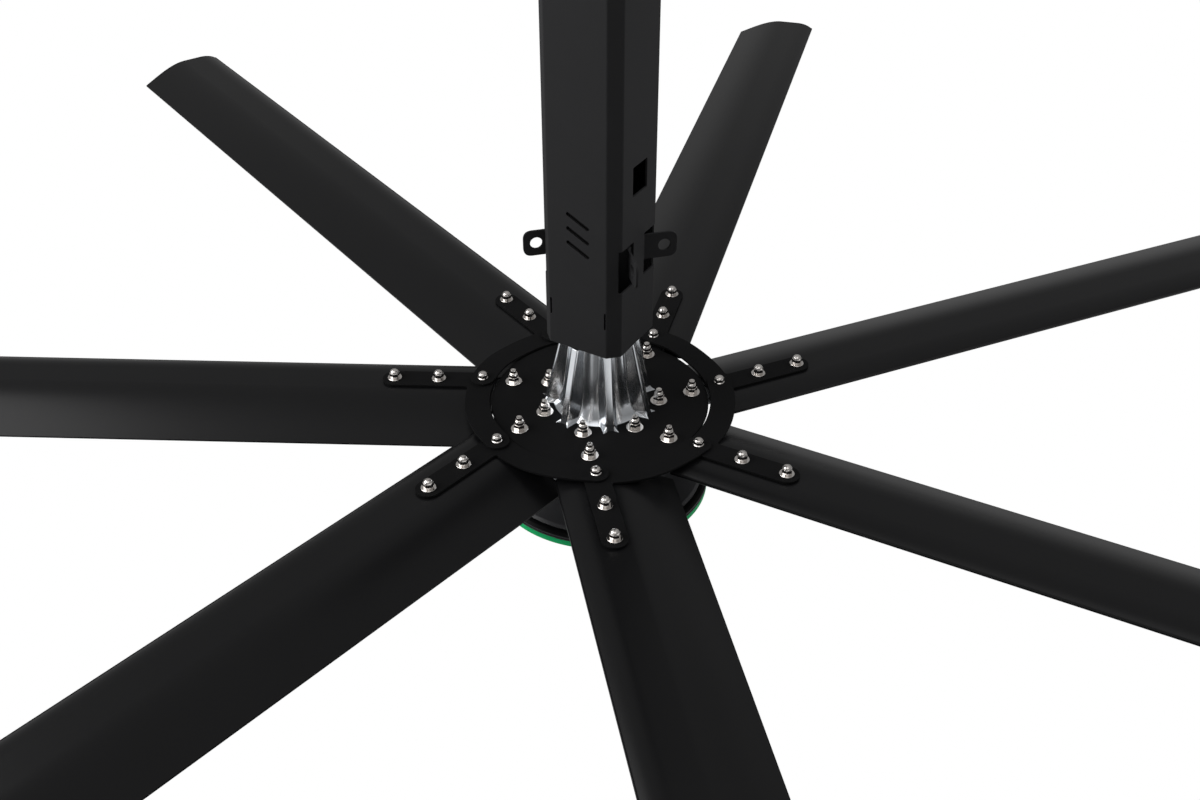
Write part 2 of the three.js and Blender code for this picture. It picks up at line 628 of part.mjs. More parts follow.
// Flat disc over the struts with its bolts, the centre hole notched round the casting's ribs
function discBody() {
  const body = rod(disc.radius, -disc.thickness, 0, 5 * bladeCount);
  const low = -disc.thickness - overrun;
  const notchReach = rib.footReach + disc.notchSide;
  const notchHalf = rib.rootHalf + disc.notchSide;
  const notch = block(notchReach, 2 * notchHalf, disc.thickness + 2 * overrun)
    .translate(notchReach / 2, 0, -disc.thickness / 2);
  const plain = cut(body, [rod(disc.hole, low, overrun, 28), ...everyBlade(notch)]);
  return join([plain, ...discBoltBodies()]);
}

// Studs, washers and nuts that clamp the struts between disc and casting
function discBoltBodies() {
  const washerTop = bolt.washerThick;
  const nutTop = washerTop + bolt.nutHeight;
  const stud = (low) => turnedProfile([
    [0, low], [bolt.radius, low], [bolt.radius, 0], [bolt.washer, 0], [bolt.hex, washerTop],
    [bolt.hex, nutTop], [0, nutTop],
  ], 6);
  const inCasting = stud(flangeBottom + casting.wall / 4 + clearance);
  const inCan = stud(canTop - can.brimThick);
  return [
    ...everyBlade(onStrut(inCasting, station.discInner)),
    ...everyBlade(onStrut(inCan, station.discOuter)),
  ];
}

// The bar inside each blade's root, clamped between disc and casting
function strutBody() {
  const half = strut.width / 2;
  const shape = polygon([
    [strut.inner, -half], [strut.outer - strut.corner, -half], [strut.outer, -half + strut.corner],
    [strut.outer, half - strut.corner], [strut.outer - strut.corner, half], [strut.inner, half],
  ]);
  for (const along of stations) {
    shape.holes.push(new THREE.Path().absarc(along, 0, strut.boltHole, -Math.PI / 2, 1.5 * Math.PI));
  }
  return moved(slab(shape, strutBottom, strutTop, 3), 0, -strut.offset, 0);
}

// Blade section. y runs from the leading edge, negative, to the trailing edge.
const aftRun = blade.trailing + blade.flatAft;
const foreRun = blade.leading - blade.flatFore - blade.noseRadius / 2;
const foreDrop = blade.noseDrop - blade.noseRadius / 2;
const bezier = (shares, x, dx, z, dz) => new THREE.CubicBezierCurve(
  ...shares.map(([u, v]) => new THREE.Vector2(x + u * dx, z + v * dz)));
const upperAft = bezier(upperAftShares, -blade.flatAft, aftRun, blade.crown,
  -(blade.tailDrop + blade.crown)).getPoints(3);
const upperFore = bezier(upperForeShares, -blade.flatFore, -foreRun, blade.crown,
  -(foreDrop + blade.crown)).getPoints(3);
const noseCentre = new THREE.Vector2(-(blade.leading - blade.noseRadius), -blade.noseDrop);
const noseEnd = new THREE.Vector2(noseCentre.x, noseCentre.y - blade.noseRadius);
const tailLow = new THREE.Vector2(blade.trailing, -(blade.tailDrop + blade.tailThick));
const lowerAt = (y) => THREE.MathUtils.mapLinear(y, noseEnd.x, tailLow.x, noseEnd.y, tailLow.y);

function bladeOutline() {
  const nose = [1, 2, 3].map((i) => {
    const angle = Math.PI + (i / 3 - 1 / 3) * (Math.PI / 2);
    return new THREE.Vector2(
      noseCentre.x + blade.noseRadius * Math.cos(angle),
      noseCentre.y + blade.noseRadius * Math.sin(angle));
  });
  const points = [...upperAft].reverse();
  points.push(...upperFore, ...nose, noseEnd, tailLow);
  return new THREE.Shape(points);
}

// The hollow between two webs, one wall inside the skin
function cellPath(fore, aft) {
  const top = [...upperFore].reverse().concat(upperAft)
    .filter((p) => p.x > fore && p.x < aft)
    .map((p) => new THREE.Vector2(p.x, p.y - blade.wall));
  const topAt = (y) => {
    const line = [...upperFore].reverse().concat(upperAft);
    const i = line.findIndex((p) => p.x >= y);
    const [a, b] = [line[i - 1], line[i]];
    return THREE.MathUtils.mapLinear(y, a.x, b.x, a.y, b.y) - blade.wall;
  };
  const points = [new THREE.Vector2(fore, topAt(fore)), ...top, new THREE.Vector2(aft, topAt(aft))];
  points.push(new THREE.Vector2(aft, lowerAt(aft) + blade.wall));
  points.push(new THREE.Vector2(fore, lowerAt(fore) + blade.wall));
  return new THREE.Path(points);
}

const cellHalf = strut.width / 2 + blade.cellClear;
const strutCell = [-strut.offset - cellHalf, -strut.offset + cellHalf];
const noseCell = [-(blade.leading - 2.5 * blade.wall), strutCell[0] - blade.wall];
const tailCell = [strutCell[1] + blade.wall, blade.trailing - 5 * blade.wall];

function bladeBody() {
  const shape = bladeOutline();
  shape.holes.push(cellPath(...noseCell), cellPath(...strutCell), cellPath(...tailCell));
  const body = slabAlongX(shape, blade.root, blade.tip);
  const tool = rod(bladeHole, blade.crown - blade.wall - overrun, blade.crown + overrun, 6);
  const places = [station.ring, station.armInner, station.armOuter];
  return cut(body, places.map((along) => onStrut(tool, along)));
}

function tipCapBody() {
  const start = blade.tip + clearance;
  const face = slabAlongX(bladeOutline(), start, start + tipCap.thickness);
  const [fore, aft] = strutCell;
  const inset = tipCap.plugClear;
  const high = blade.crown - blade.wall - inset;
  const low = lowerAt(fore) + blade.wall + inset;
  const plug = block(tipCap.plug + tipCap.thickness, aft - fore - 2 * inset, high - low);
  const x = blade.tip + (tipCap.thickness - tipCap.plug) / 2;
  return join([face, moved(plug, x, (fore + aft) / 2, (high + low) / 2)]);
}

// Interlocking retaining link: an arm bolted to its blade and an arc that ends in a lobe
// lying on the root of the next link. A blank is cut from sheet with one joggle, and it
// carries its two arm bolts and the nut over the next blade's ring bolt.
const rootAngle = Math.atan2(-strut.offset, station.ring);
const lobeAngle = rootAngle + bladeStep;

function linkBlank(low, high) {
  const half = link.armWidth / 2;
  const arm = new THREE.Shape();
  arm.absarc(station.ring, 0, half, Math.PI / 2, 1.5 * Math.PI);
  arm.absarc(station.armOuter + link.armEnd - half, 0, half, 1.5 * Math.PI, 2.5 * Math.PI);
  const armBlank = moved(slab(arm, low, high, 2), 0, -strut.offset, 0);
  const arc = new THREE.Shape();
  arc.absarc(0, 0, link.ringOuter, rootAngle, lobeAngle, false);
  arc.absarc(0, 0, link.ringInner, lobeAngle, rootAngle, true);
  const arcBlank = slab(arc, low, high, 2);
  const lobe = moved(rod(link.lobe, low, high, 8),
    ringRadius * Math.cos(lobeAngle), ringRadius * Math.sin(lobeAngle), 0);
  return join([armBlank, arcBlank, lobe]);
}

function linkBody() {
  const rise = lobeBottom - linkBottom;
  const reach = 2 * station.armOuter;
  const half = link.bendRun / 2;
  const sheet = polygon([
    [-reach, linkBottom], [-half, linkBottom], [half, linkBottom + rise], [reach, linkBottom + rise],
    [reach, linkTop + rise], [half, linkTop + rise], [-half, linkTop], [-reach, linkTop],
  ]);
  const strip = slabAlongX(sheet, -reach, reach).rotateZ(link.bendAngle);
  const low = linkBottom - overrun;
  const high = lobeTop + overrun;
  const rootHole = onStrut(rod(link.hole, low - overrun, high + overrun, 6), station.ring);
  const sheetBody = cut(common(linkBlank(low, high), strip), [rootHole]);
  const armBoltBody = stacked(strutBottom, [
    [armBolt.radius, linkTop], [armBolt.hex, linkTop + armBolt.head],
  ], 6);
  const ringNutBody = stacked(strutBottom, [
    [bolt.radius, lobeTop], [ringNut.hex, lobeTop + ringNut.height],
  ], 6);
  return join([
    sheetBody, onStrut(armBoltBody, station.armInner), onStrut(armBoltBody, station.armOuter),
    turned(onStrut(ringNutBody, station.ring), bladeStep),
  ]);
}

function canBody() {
  const inner = can.radius - can.wall;
  const seat = bearing.outer + clearance;
  const seatTop = lowerBearing.height + bearing.width + clearance;
  const floor = canBottom + can.floor;
  const body = turnedProfile([
    [seat, canBottom], [can.radius - can.chamfer, canBottom], [can.radius, canBottom + can.chamfer],
    [can.radius, canTop - can.brimThick], [can.brim, canTop - can.brimThick], [can.brim, canTop],
    [inner, canTop], [inner, floor], [can.boss, floor],
    [can.boss, -can.bossTop], [casting.throat, -can.bossTop], [casting.throat, seatTop], [seat, seatTop],
  ], 28);
  const brimLow = canTop - can.brimThick - overrun;
  const tapped = rod(disc.boltHole, brimLow, canTop + overrun, 6);
  const below = rod(dishScrew.radius + clearance, canBottom - overrun,
    canBottom + dishScrew.bite + clearance, 6);
  const drilled = cut(body, [
    ...everyBlade(onStrut(tapped, station.discOuter)),
    ...around(moved(below, dishScrew.circle, 0, 0), dishScrew.count),
  ]);
  return join([drilled, ...magnetBodies()]);
}

// Flat-faced magnets bonded to the can's inner wall, their backs in the wall
function magnetBodies() {
  const back = can.radius - can.wall / 2;
  const one = block(back - magnet.inner, magnet.width, magnet.length)
    .translate((back + magnet.inner) / 2, 0, -magnet.top - magnet.length / 2);
  return around(one, magnet.count);
}

function topCapBody() {
  const low = casting.top + clearance;
  return ring(topCap.inner, topCap.outer, low, low + topCap.thickness, 16);
}

// Wide shallow dish under the motor, sloping out to a rounded shoulder and a short rim
function dishBody() {
  const [w, rimIn] = [dish.wall, dish.rim - dish.wall];
  const lipTop = dishTop - dish.fall;
  const rimTop = canBottom - dish.rimTop;
  const body = turnedProfile([
    [dish.inner, dishTop - w], [dish.shoulder, dishTop - w], [dish.lip - w, lipTop - w],
    [rimIn, rimTop - w], [rimIn, dishBottom], [dish.rim, dishBottom], [dish.rim, rimTop - w],
    [(dish.rim + dish.lip) / 2 + w / 3, (rimTop + lipTop) / 2],
    [dish.lip, lipTop], [dish.shoulder, dishTop], [dish.inner, dishTop],
  ], roundSides);
  return join([body, ...dishScrewBodies()]);
}

function dishScrewBodies() {
  const seat = dishTop - dish.wall;
  const one = stacked(seat - dishScrew.headHeight, [
    [dishScrew.head, seat], [dishScrew.radius, canBottom + dishScrew.bite],
  ], 6);
  return around(moved(one, dishScrew.circle, 0, 0), dishScrew.count);
}

function trimBody() {
  return turnedProfile([
    [trim.inner, trimBottom], [trim.bottom, trimBottom], [trim.top, trimTop], [trim.inner, trimTop],
  ], roundSides);
}

// Shallow crowned cover that closes the underside; its wall reaches up to the dish
function coverBody() {
  const w = cover.wall;
  const edgeTop = trimBottom - clearance;
  const edgeLow = edgeTop - cover.edgeHeight;
  const crown = edgeLow - cover.crown;
  const lipTop = dishTop - dish.fall;
  const run = (coverWallOuter - dish.shoulder) / (dish.lip - dish.wall - dish.shoulder);
  const seat = dishTop - dish.wall - (dishTop - lipTop) * run - clearance;
  return turnedProfile([
    [0, crown], ...coverShares.map(([u, v]) => [cover.edge * u, crown + cover.crown * v]),
    [cover.edge, edgeLow], [cover.edge, edgeTop],
    [coverWallOuter, edgeTop], [coverWallOuter, seat], [coverWallInner, seat],
    [coverWallInner, edgeLow], [cover.edge * coverInnerShare, crown + cover.crown * coverShares[0][1] + w],
    [0, crown + w],
  ], roundSides);
}

add(rotor, 'hub_casting', castingBody(), polishedAlloy);
add(rotor, 'hub_disc', discBody(), blackCoat);
const shared = {
  blade: bladeBody(), strut: strutBody(), link: linkBody(), cap: tipCapBody(),
};
for (let k = 0; k < bladeCount; k += 1) {
  const arm = new THREE.Group();
  arm.rotation.z = k * bladeStep;
  add(arm, `blade_${k + 1}`, shared.blade, blackBlade);
  add(arm, `blade_strut_${k + 1}`, shared.strut, steel);
  add(arm, `retaining_link_${k + 1}`, shared.link, blackCoat);
  add(arm, `blade_tip_cap_${k + 1}`, shared.cap, blackPlastic);
  rotor.add(arm);
}
add(rotor, 'rotor_can', canBody(), polishedAlloy);
add(rotor, 'upper_bearing_outer', bearingOuter(upperBearing.height), steel);
add(rotor, 'lower_bearing_outer', bearingOuter(lowerBearing.height), steel);
add(rotor, 'bearing_cap', topCapBody(), blackCoat);
add(rotor, 'lower_dish', dishBody(), blackPlastic);
const spacerTop = dishBottom - clearance;
add(rotor, 'trim_spacer',
  ring(trim.inner, spacerRing.radius, spacerTop - spacerRing.height, spacerTop, roundSides),
  polishedAlloy);
add(rotor, 'green_trim_ring', trimBody(), greenTrim);
add(rotor, 'bottom_cover', coverBody(), blackPlastic);

const fan = new THREE.Group();
fan.add(fixed, rotor);

export default fan;
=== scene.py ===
# High volume low speed ceiling fan seen from above its hub: finishes, fine meshes, light and camera.
import json
import math
import bmesh
import bpy
from mathutils import Matrix, Vector
from mathutils.geometry import tessellate_polygon


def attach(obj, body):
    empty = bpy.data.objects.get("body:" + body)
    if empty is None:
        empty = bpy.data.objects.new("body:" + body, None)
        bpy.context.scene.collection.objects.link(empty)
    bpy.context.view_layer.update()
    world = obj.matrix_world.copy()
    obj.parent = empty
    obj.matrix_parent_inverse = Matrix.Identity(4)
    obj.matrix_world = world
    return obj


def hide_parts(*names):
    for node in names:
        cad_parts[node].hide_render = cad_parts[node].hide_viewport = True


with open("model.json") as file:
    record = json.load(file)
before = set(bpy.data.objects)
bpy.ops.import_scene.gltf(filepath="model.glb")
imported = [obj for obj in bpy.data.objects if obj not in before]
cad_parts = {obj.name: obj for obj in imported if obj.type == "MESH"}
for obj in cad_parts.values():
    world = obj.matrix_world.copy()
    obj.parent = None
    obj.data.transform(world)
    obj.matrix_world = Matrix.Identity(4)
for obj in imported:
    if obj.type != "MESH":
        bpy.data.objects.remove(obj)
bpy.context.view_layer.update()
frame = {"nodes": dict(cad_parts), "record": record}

mm = 0.001
weld = 1e-4  # mm, corners nearer than this become one
onCut = 1e-5  # mm, a corner this near a cut lies on it
washerEdge = 0.3  # mm, broken edge of a washer
cornerShare = 0.48  # of a side, the most that a rounded corner takes
acuteLimit = 0.35  # keeps an acute corner from moving too far
fastenerSides = 48
turnedSides = 192
fullTurn = 2 * math.pi
bladeCount = 7
bladeStep = fullTurn / bladeCount
restTurn = math.radians(-48.9)  # first blade, from +X
hubTop = frame["record"]["behaviour"]["joints"][0]["pos_m"][2] / mm  # top of the hub disc
inRoom = Matrix.Scale(mm, 4)
onRotor = inRoom @ Matrix.Translation((0, 0, hubTop)) @ Matrix.Rotation(restTurn, 4, "Z")
# along a blade, on the line of its bolts, from the axis
stations = {"line": -37.9, "discInner": 74.4, "discOuter": 126.3, "ring": 170.8, "armInner": 234.8, "armOuter": 298.9}


def linear(hexText):  # an sRGB hex value as the linear colour that shaders take
    channels = [int(hexText[i:i + 2], 16) / 255 for i in (1, 3, 5)]
    return [c / 12.92 if c <= 0.04045 else ((c + 0.055) / 1.055) ** 2.4 for c in channels] + [1.0]


def addNode(tree, kind, inputs=(), **settings):  # inputs: socket name or number to a value or a socket
    made = tree.nodes.new(kind)
    for key, value in settings.items():
        setattr(made, key, value)
    for key, value in dict(inputs).items():
        if isinstance(value, bpy.types.NodeSocket):
            tree.links.new(value, made.inputs[key])
        else:
            made.inputs[key].default_value = value
    return made


def newMaterial(name):  # an empty material with its shader and the object's own coordinates
    material = bpy.data.materials.new(name)
    material.use_nodes = True
    tree = material.node_tree
    place = addNode(tree, "ShaderNodeTexCoord").outputs["Object"]
    return material, tree, tree.nodes["Principled BSDF"], place


# Polyester powder coat on steel: soft, nearly black, its fine orange peel breaks up the shine
coatLook = {"dark": "#29292a", "light": "#2d2d2e", "film": 40.0, "rough": (0.5, 0.6), "peel": 1.6, "depth": 0.05,
            "specular": 0.08}
# E-coated sheet of the disc and links: a deeper black, close to matt
sheetLook = {"dark": "#111111", "light": "#141415", "film": 40.0, "rough": (0.6, 0.7), "peel": 1.2, "depth": 0.03,
             "specular": 0.05}
# Satin enamel on the pressed dish and spacer, a dark grey lighter than the dish's own black: painted light that
# brings up their edges in the shade of the blades; on the spacer the grey stands for its dim reflection
dishPaintedLightLook = {"dark": "#3f3f41", "light": "#454547", "film": 50.0, "rough": (0.38, 0.46), "peel": 1.4, "depth": 0.03,
            "specular": 0.4}
# Injection-moulded ABS of the cover and tip caps, also used on the black sheet of painted shade behind the louvres:
# spark-eroded grain, a broad dull sheen
mouldedLook = {"dark": "#0a0a0a", "light": "#0e0e0e", "film": 60.0, "rough": (0.4, 0.5), "peel": 0.9, "depth": 0.02,
               "specular": 0.1}
# Green band, the same ABS coloured right through: even, satin, a little lighter where it was polished
greenLook = {"dark": "#1cc975", "light": "#26d782", "film": 30.0, "rough": (0.4, 0.5), "peel": 1.4, "depth": 0.02,
             "specular": 0.1}
# PVC sheath of the motor lead: dull and slightly rough
sheathLook = {"dark": "#0b0b0b", "light": "#121212", "film": 20.0, "rough": (0.55, 0.7), "peel": 1.0, "depth": 0.05,
              "specular": 0.3}
# Black anodised aluminium extrusion: faint die lines run along the blade, which the UV map follows
bladeLook = {"dark": "#0e0e0f", "light": "#111112", "film": 120.0, "rough": (0.26, 0.34), "line": 0.8,
             "stretch": 0.02, "depth": 0.006, "specular": 0.2}
# Cast aluminium, machined and polished by hand: a cool mirror softened by faint wheel marks
castLook = {"dark": "#ced2d6", "light": "#dadde1", "cloud": 25.0, "rough": (0.16, 0.2), "mark": 3.0, "depth": 0.001}
# Bright zinc plating on the fasteners: warm white metal, slightly uneven
zincLook = {"dark": "#d2cdc9", "light": "#dfdbd7", "cloud": 25.0, "rough": (0.09, 0.15), "mark": 1.5, "depth": 0.002}
# Machined steel of the struts, shaft and bearings: greyer, under a dull oil film
steelLook = {"dark": "#7d7f82", "light": "#9a9c9f", "cloud": 25.0, "rough": (0.28, 0.42), "mark": 1.0, "depth": 0.02}
# Turned aluminium of the motor can and drive unit: pale, finely tooled
canLook = {"dark": "#b4b7ba", "light": "#cfd2d5", "cloud": 25.0, "rough": (0.1, 0.16), "mark": 2.0, "depth": 0.02}
# Varnished copper wire: reddish, its colour broken up turn by turn
copperLook = {"dark": "#8a4a22", "light": "#b3683a", "cloud": 6.0, "rough": (0.3, 0.45), "mark": 1.0, "depth": 0.05}
relief = {"coat": 0.35, "extrusion": 0.2, "metal": 0.15}  # how strongly each surface shows its bumps


def patterned(name, *sizes):  # an empty material with a noise for each size in mm
    material, tree, shader, place = newMaterial(name)
    noises = [addNode(tree, "ShaderNodeTexNoise", {"Vector": place, "Scale": 1 / (size * mm), "Detail": 3.0})
              .outputs[0] for size in sizes]
    return material, tree, shader, noises


def dressShader(tree, shader, look, tint, sheen, bumps, strength):
    # tint, sheen and bumps are the patterns that vary the colour, the roughness and the height
    colour = addNode(tree, "ShaderNodeMix", {0: tint, 6: linear(look["dark"]), 7: linear(look["light"])},
                     data_type="RGBA")
    rough = addNode(tree, "ShaderNodeMapRange",
                    {"Value": sheen, "To Min": look["rough"][0], "To Max": look["rough"][1]})
    bumped = addNode(tree, "ShaderNodeBump", {"Height": bumps, "Strength": strength, "Distance": look["depth"] * mm})
    tree.links.new(colour.outputs[2], shader.inputs["Base Color"])
    tree.links.new(rough.outputs[0], shader.inputs["Roughness"])
    tree.links.new(bumped.outputs[0], shader.inputs["Normal"])


def grainedCoat(name, look):
    material, tree, shader, (film, peel) = patterned(name, look["film"], look["peel"])
    dressShader(tree, shader, look, film, film, peel, relief["coat"])
    shader.inputs["Specular IOR Level"].default_value = look["specular"]
    return material


def anodisedExtrusion(name, look):
    material, tree, shader, (film,) = patterned(name, look["film"])
    uv = addNode(tree, "ShaderNodeUVMap", uv_map="alongBlade")
    drawn = addNode(tree, "ShaderNodeMapping", {"Vector": uv.outputs[0], "Scale": (look["stretch"], 1, 1)})
    lines = addNode(tree, "ShaderNodeTexNoise",
                    {"Vector": drawn.outputs[0], "Scale": 1 / (look["line"] * mm), "Detail": 2.0}).outputs[0]
    dressShader(tree, shader, look, film, lines, lines, relief["extrusion"])
    shader.inputs["Specular IOR Level"].default_value = look["specular"]
    return material


def bareMetal(name, look):
    material, tree, shader, (cloud, marks) = patterned(name, look["cloud"], look["mark"])
    dressShader(tree, shader, look, cloud, marks, marks, relief["metal"])
    shader.inputs["Metallic"].default_value = 1.0
    return material


finishes = {
    "coat": grainedCoat("powder coated steel", coatLook),
    "sheet": grainedCoat("e-coated steel sheet", sheetLook),
    "blade": anodisedExtrusion("black anodised extrusion", bladeLook),
    "casting": bareMetal("polished cast aluminium", castLook),
    "zinc": bareMetal("bright zinc plating", zincLook),
    "steel": bareMetal("machined steel", steelLook),
    "can": bareMetal("turned aluminium", canLook),
    "copper": bareMetal("varnished copper wire", copperLook),
    "dish": grainedCoat("satin grey, painted light", dishPaintedLightLook),
    "moulded": grainedCoat("moulded black ABS", mouldedLook),
    "green": grainedCoat("green ABS band", greenLook),
    "sheath": grainedCoat("PVC cable sheath", sheathLook),
}
print("finishes ready:", len(finishes))


def finished(name, mesh, finish, body, replaced=(), sharpDegrees=32):
    # makes the piece from a mesh that is already in place
    mesh.name = name
    for face in mesh.polygons:
        face.use_smooth = True
    mesh.set_sharp_from_angle(angle=math.radians(sharpDegrees))
    if not mesh.materials:
        mesh.materials.append(finishes[finish])
    piece = bpy.data.objects.new(name, mesh)
    bpy.context.scene.collection.objects.link(piece)
    piece.modifiers.new("flat faces stay flat", "WEIGHTED_NORMAL").keep_sharp = True
    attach(piece, body)
    if replaced:
        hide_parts(*replaced)


def toMesh(bm, place):  # a mesh in metres from a bmesh in mm
    bmesh.ops.remove_doubles(bm, verts=bm.verts, dist=weld)
    bmesh.ops.recalc_face_normals(bm, faces=bm.faces)
    mesh = bpy.data.meshes.new("piece")
    bm.to_mesh(mesh)
    bm.free()
    mesh.transform(place)
    return mesh


def arc(centre, radius, start, end, steps):  # points from angle start to angle end, in degrees
    angles = [math.radians(start + (end - start) * i / steps) for i in range(steps + 1)]
    return [Vector((centre[0] + radius * math.cos(a), centre[1] + radius * math.sin(a))) for a in angles]


def rounded(points, radius, steps=4, closedLoop=True):  # the corners of a polygon taken round
    count = len(points)
    path = []
    for i, corner in enumerate(points):
        if not closedLoop and i in (0, count - 1):
            path.append(corner.copy())
            continue
        before, after = points[i - 1], points[(i + 1) % count]
        size = radius[i] if isinstance(radius, (list, tuple)) else radius
        back = min(size, (before - corner).length * cornerShare)
        ahead = min(size, (after - corner).length * cornerShare)
        first = corner + (before - corner).normalized() * back
        last = corner + (after - corner).normalized() * ahead
        for k in range(steps + 1):
            t = k / steps
            path.append(first * (1 - t) ** 2 + corner * (2 * t * (1 - t)) + last * t ** 2)
    return path


def isAnticlockwise(loop):
    return sum(a.x * b.y - b.x * a.y for a, b in zip(loop, loop[1:] + loop[:1])) > 0


def inset(loop, distance):  # moves each side to its left, into the material
    moved = []
    for i, here in enumerate(loop):
        ahead = (loop[(i + 1) % len(loop)] - here).normalized()
        behind = (here - loop[i - 1]).normalized()
        left = [Vector((-d.y, d.x)) for d in (behind, ahead)]
        middle = (left[0] + left[1]).normalized()
        moved.append(here + middle * (distance / max(middle.dot(left[0]), acuteLimit)))
    return moved


def plate(loops, low, high, edge, bm=None):
    # a flat part between two heights, its outline first and then its holes, edges rounded by edge mm
    steps = 2
    ways = [loop if isAnticlockwise(loop) == (i == 0) else loop[::-1] for i, loop in enumerate(loops)]
    turns = [math.pi / 2 * k / steps for k in range(steps + 1)]
    rings = [(edge * (1 - math.sin(t)), low + edge * (1 - math.cos(t))) for t in turns]
    rings += [(depth, high + low - z) for depth, z in reversed(rings)]
    bm = bm or bmesh.new()
    made = []  # corner vertices by ring, then by loop
    for depth, z in rings:
        made.append([[bm.verts.new((p.x, p.y, z)) for p in inset(way, depth)] for way in ways])
    for lower, upper in zip(made, made[1:]):
        for a, b in zip(lower, upper):
            for i in range(len(a)):
                k = (i + 1) % len(a)
                bm.faces.new((a[i], a[k], b[k], b[i]))
    for ring, flip in ((made[0], True), (made[-1], False)):
        flat = [v for loop in ring for v in loop]
        for triangle in tessellate_polygon([[v.co for v in loop] for loop in ring]):
            corners = [flat[i] for i in triangle]
            if len(set(corners)) == 3:
                bm.faces.new(corners[::-1] if flip else corners)
    return bm


def lathe(profile, hexRadius=0.0, sides=fastenerSides):
    # a profile of (radius, height) turned about the axis; a level marked "hex" is cut to a hexagon
    bm = bmesh.new()
    rings = []
    for radius, z, *kind in profile:
        if radius == 0:
            rings.append([bm.verts.new((0, 0, z))])
            continue
        ring = []
        for i in range(sides):
            angle = fullTurn * i / sides
            flat = hexRadius * math.cos(math.pi / 6) / math.cos((angle % (math.pi / 3)) - math.pi / 6)
            size = min(radius, flat) if kind else radius
            ring.append(bm.verts.new((size * math.cos(angle), size * math.sin(angle), z)))
        rings.append(ring)
    closing = [] if profile[0][0] == 0 else [(rings[-1], rings[0])]
    for a, b in list(zip(rings, rings[1:])) + closing:
        for i in range(sides):
            k = (i + 1) % sides
            corners = list(dict.fromkeys([a[i % len(a)], a[k % len(a)], b[k % len(b)], b[i % len(b)]]))
            if len(corners) > 2:
                bm.faces.new(corners)
    return bm


def washerLevels(radius, low, high, edge=washerEdge):
    return [(radius - edge, low), (radius, low + edge), (radius, high - edge), (radius - edge, high)]


def turnedSection(pairs, radius):  # a profile with its corners taken round
    corners = [Vector(pair) for pair in pairs]
    ends = pairs[0][0] == 0 and pairs[-1][0] == 0
    return [(p.x, p.y) for p in rounded(corners, radius, closedLoop=not ends)]


def foldPath(corners, radius, closedPath=False):
    # runs along the outer face of a bent sheet, straight or, where there is a turn, round a bend
    count = len(corners)
    runs = []
    at = 0.0
    bends = []
    for i, corner in enumerate(corners):
        if not closedPath and i in (0, count - 1):
            bends.append((corner, corner, 0.0, None))
            continue
        inward = (corner - corners[i - 1]).normalized()
        outward = (corners[(i + 1) % count] - corner).normalized()
        turn = math.atan2(inward.x * outward.y - inward.y * outward.x, inward.dot(outward))
        reach = abs(radius * math.tan(turn / 2))
        bends.append((corner - inward * reach, corner + outward * reach, turn, inward))
    last = count if closedPath else count - 1
    for i in range(last):
        start, end = bends[i][1], bends[(i + 1) % count][0]
        length = (end - start).length
        runs.append({"from": at, "to": at + length, "point": start, "way": (end - start).normalized(), "turn": 0.0})
        at += length
        into, out, turn, way = bends[(i + 1) % count]
        if turn:
            length = abs(turn) * radius
            runs.append({"from": at, "to": at + length, "point": into, "way": way, "turn": turn})
            at += length
    return runs, at


def cutAcross(bm, point, normal):
    whole = list(bm.verts) + list(bm.edges) + list(bm.faces)
    bmesh.ops.bisect_plane(bm, geom=whole, dist=onCut, plane_co=point, plane_no=normal)


def fold(bm, runs, radius):
    # wraps a flat sheet, x along the path and y upright, round the path; z = 0 is its right-hand face
    steps = 6  # in each bend
    for run in runs:
        if run["turn"]:
            for k in range(steps + 1):
                cutAcross(bm, (run["from"] + (run["to"] - run["from"]) * k / steps, 0, 0), (1, 0, 0))
    for vert in bm.verts:
        along, up, depth = vert.co
        run = next((r for r in runs if along <= r["to"] + onCut / 10), runs[-1])
        way = run["way"]
        right = Vector((way.y, -way.x))
        travelled = along - run["from"]
        if run["turn"]:
            sign = math.copysign(1, run["turn"])
            centre = run["point"] - right * (radius * sign)
            angle = sign * travelled / radius
            arm = right * (radius * sign)
            swung = Vector((arm.x * math.cos(angle) - arm.y * math.sin(angle),
                            arm.x * math.sin(angle) + arm.y * math.cos(angle)))
            there = centre + swung * ((radius + depth * sign) / radius)
        else:
            there = run["point"] + way * travelled + right * depth
        vert.co = (there.x, there.y, up)
    return bm


def boxLoop(left, right, low, high):
    return [Vector((left, low)), Vector((right, low)), Vector((right, high)), Vector((left, high))]


def boxAt(x, y, width, tall):
    return boxLoop(x - width / 2, x + width / 2, y - tall / 2, y + tall / 2)


def circle(x, y, radius, steps=32):
    return arc((x, y), radius, 0, 360 * (steps - 1) / steps, steps - 1)


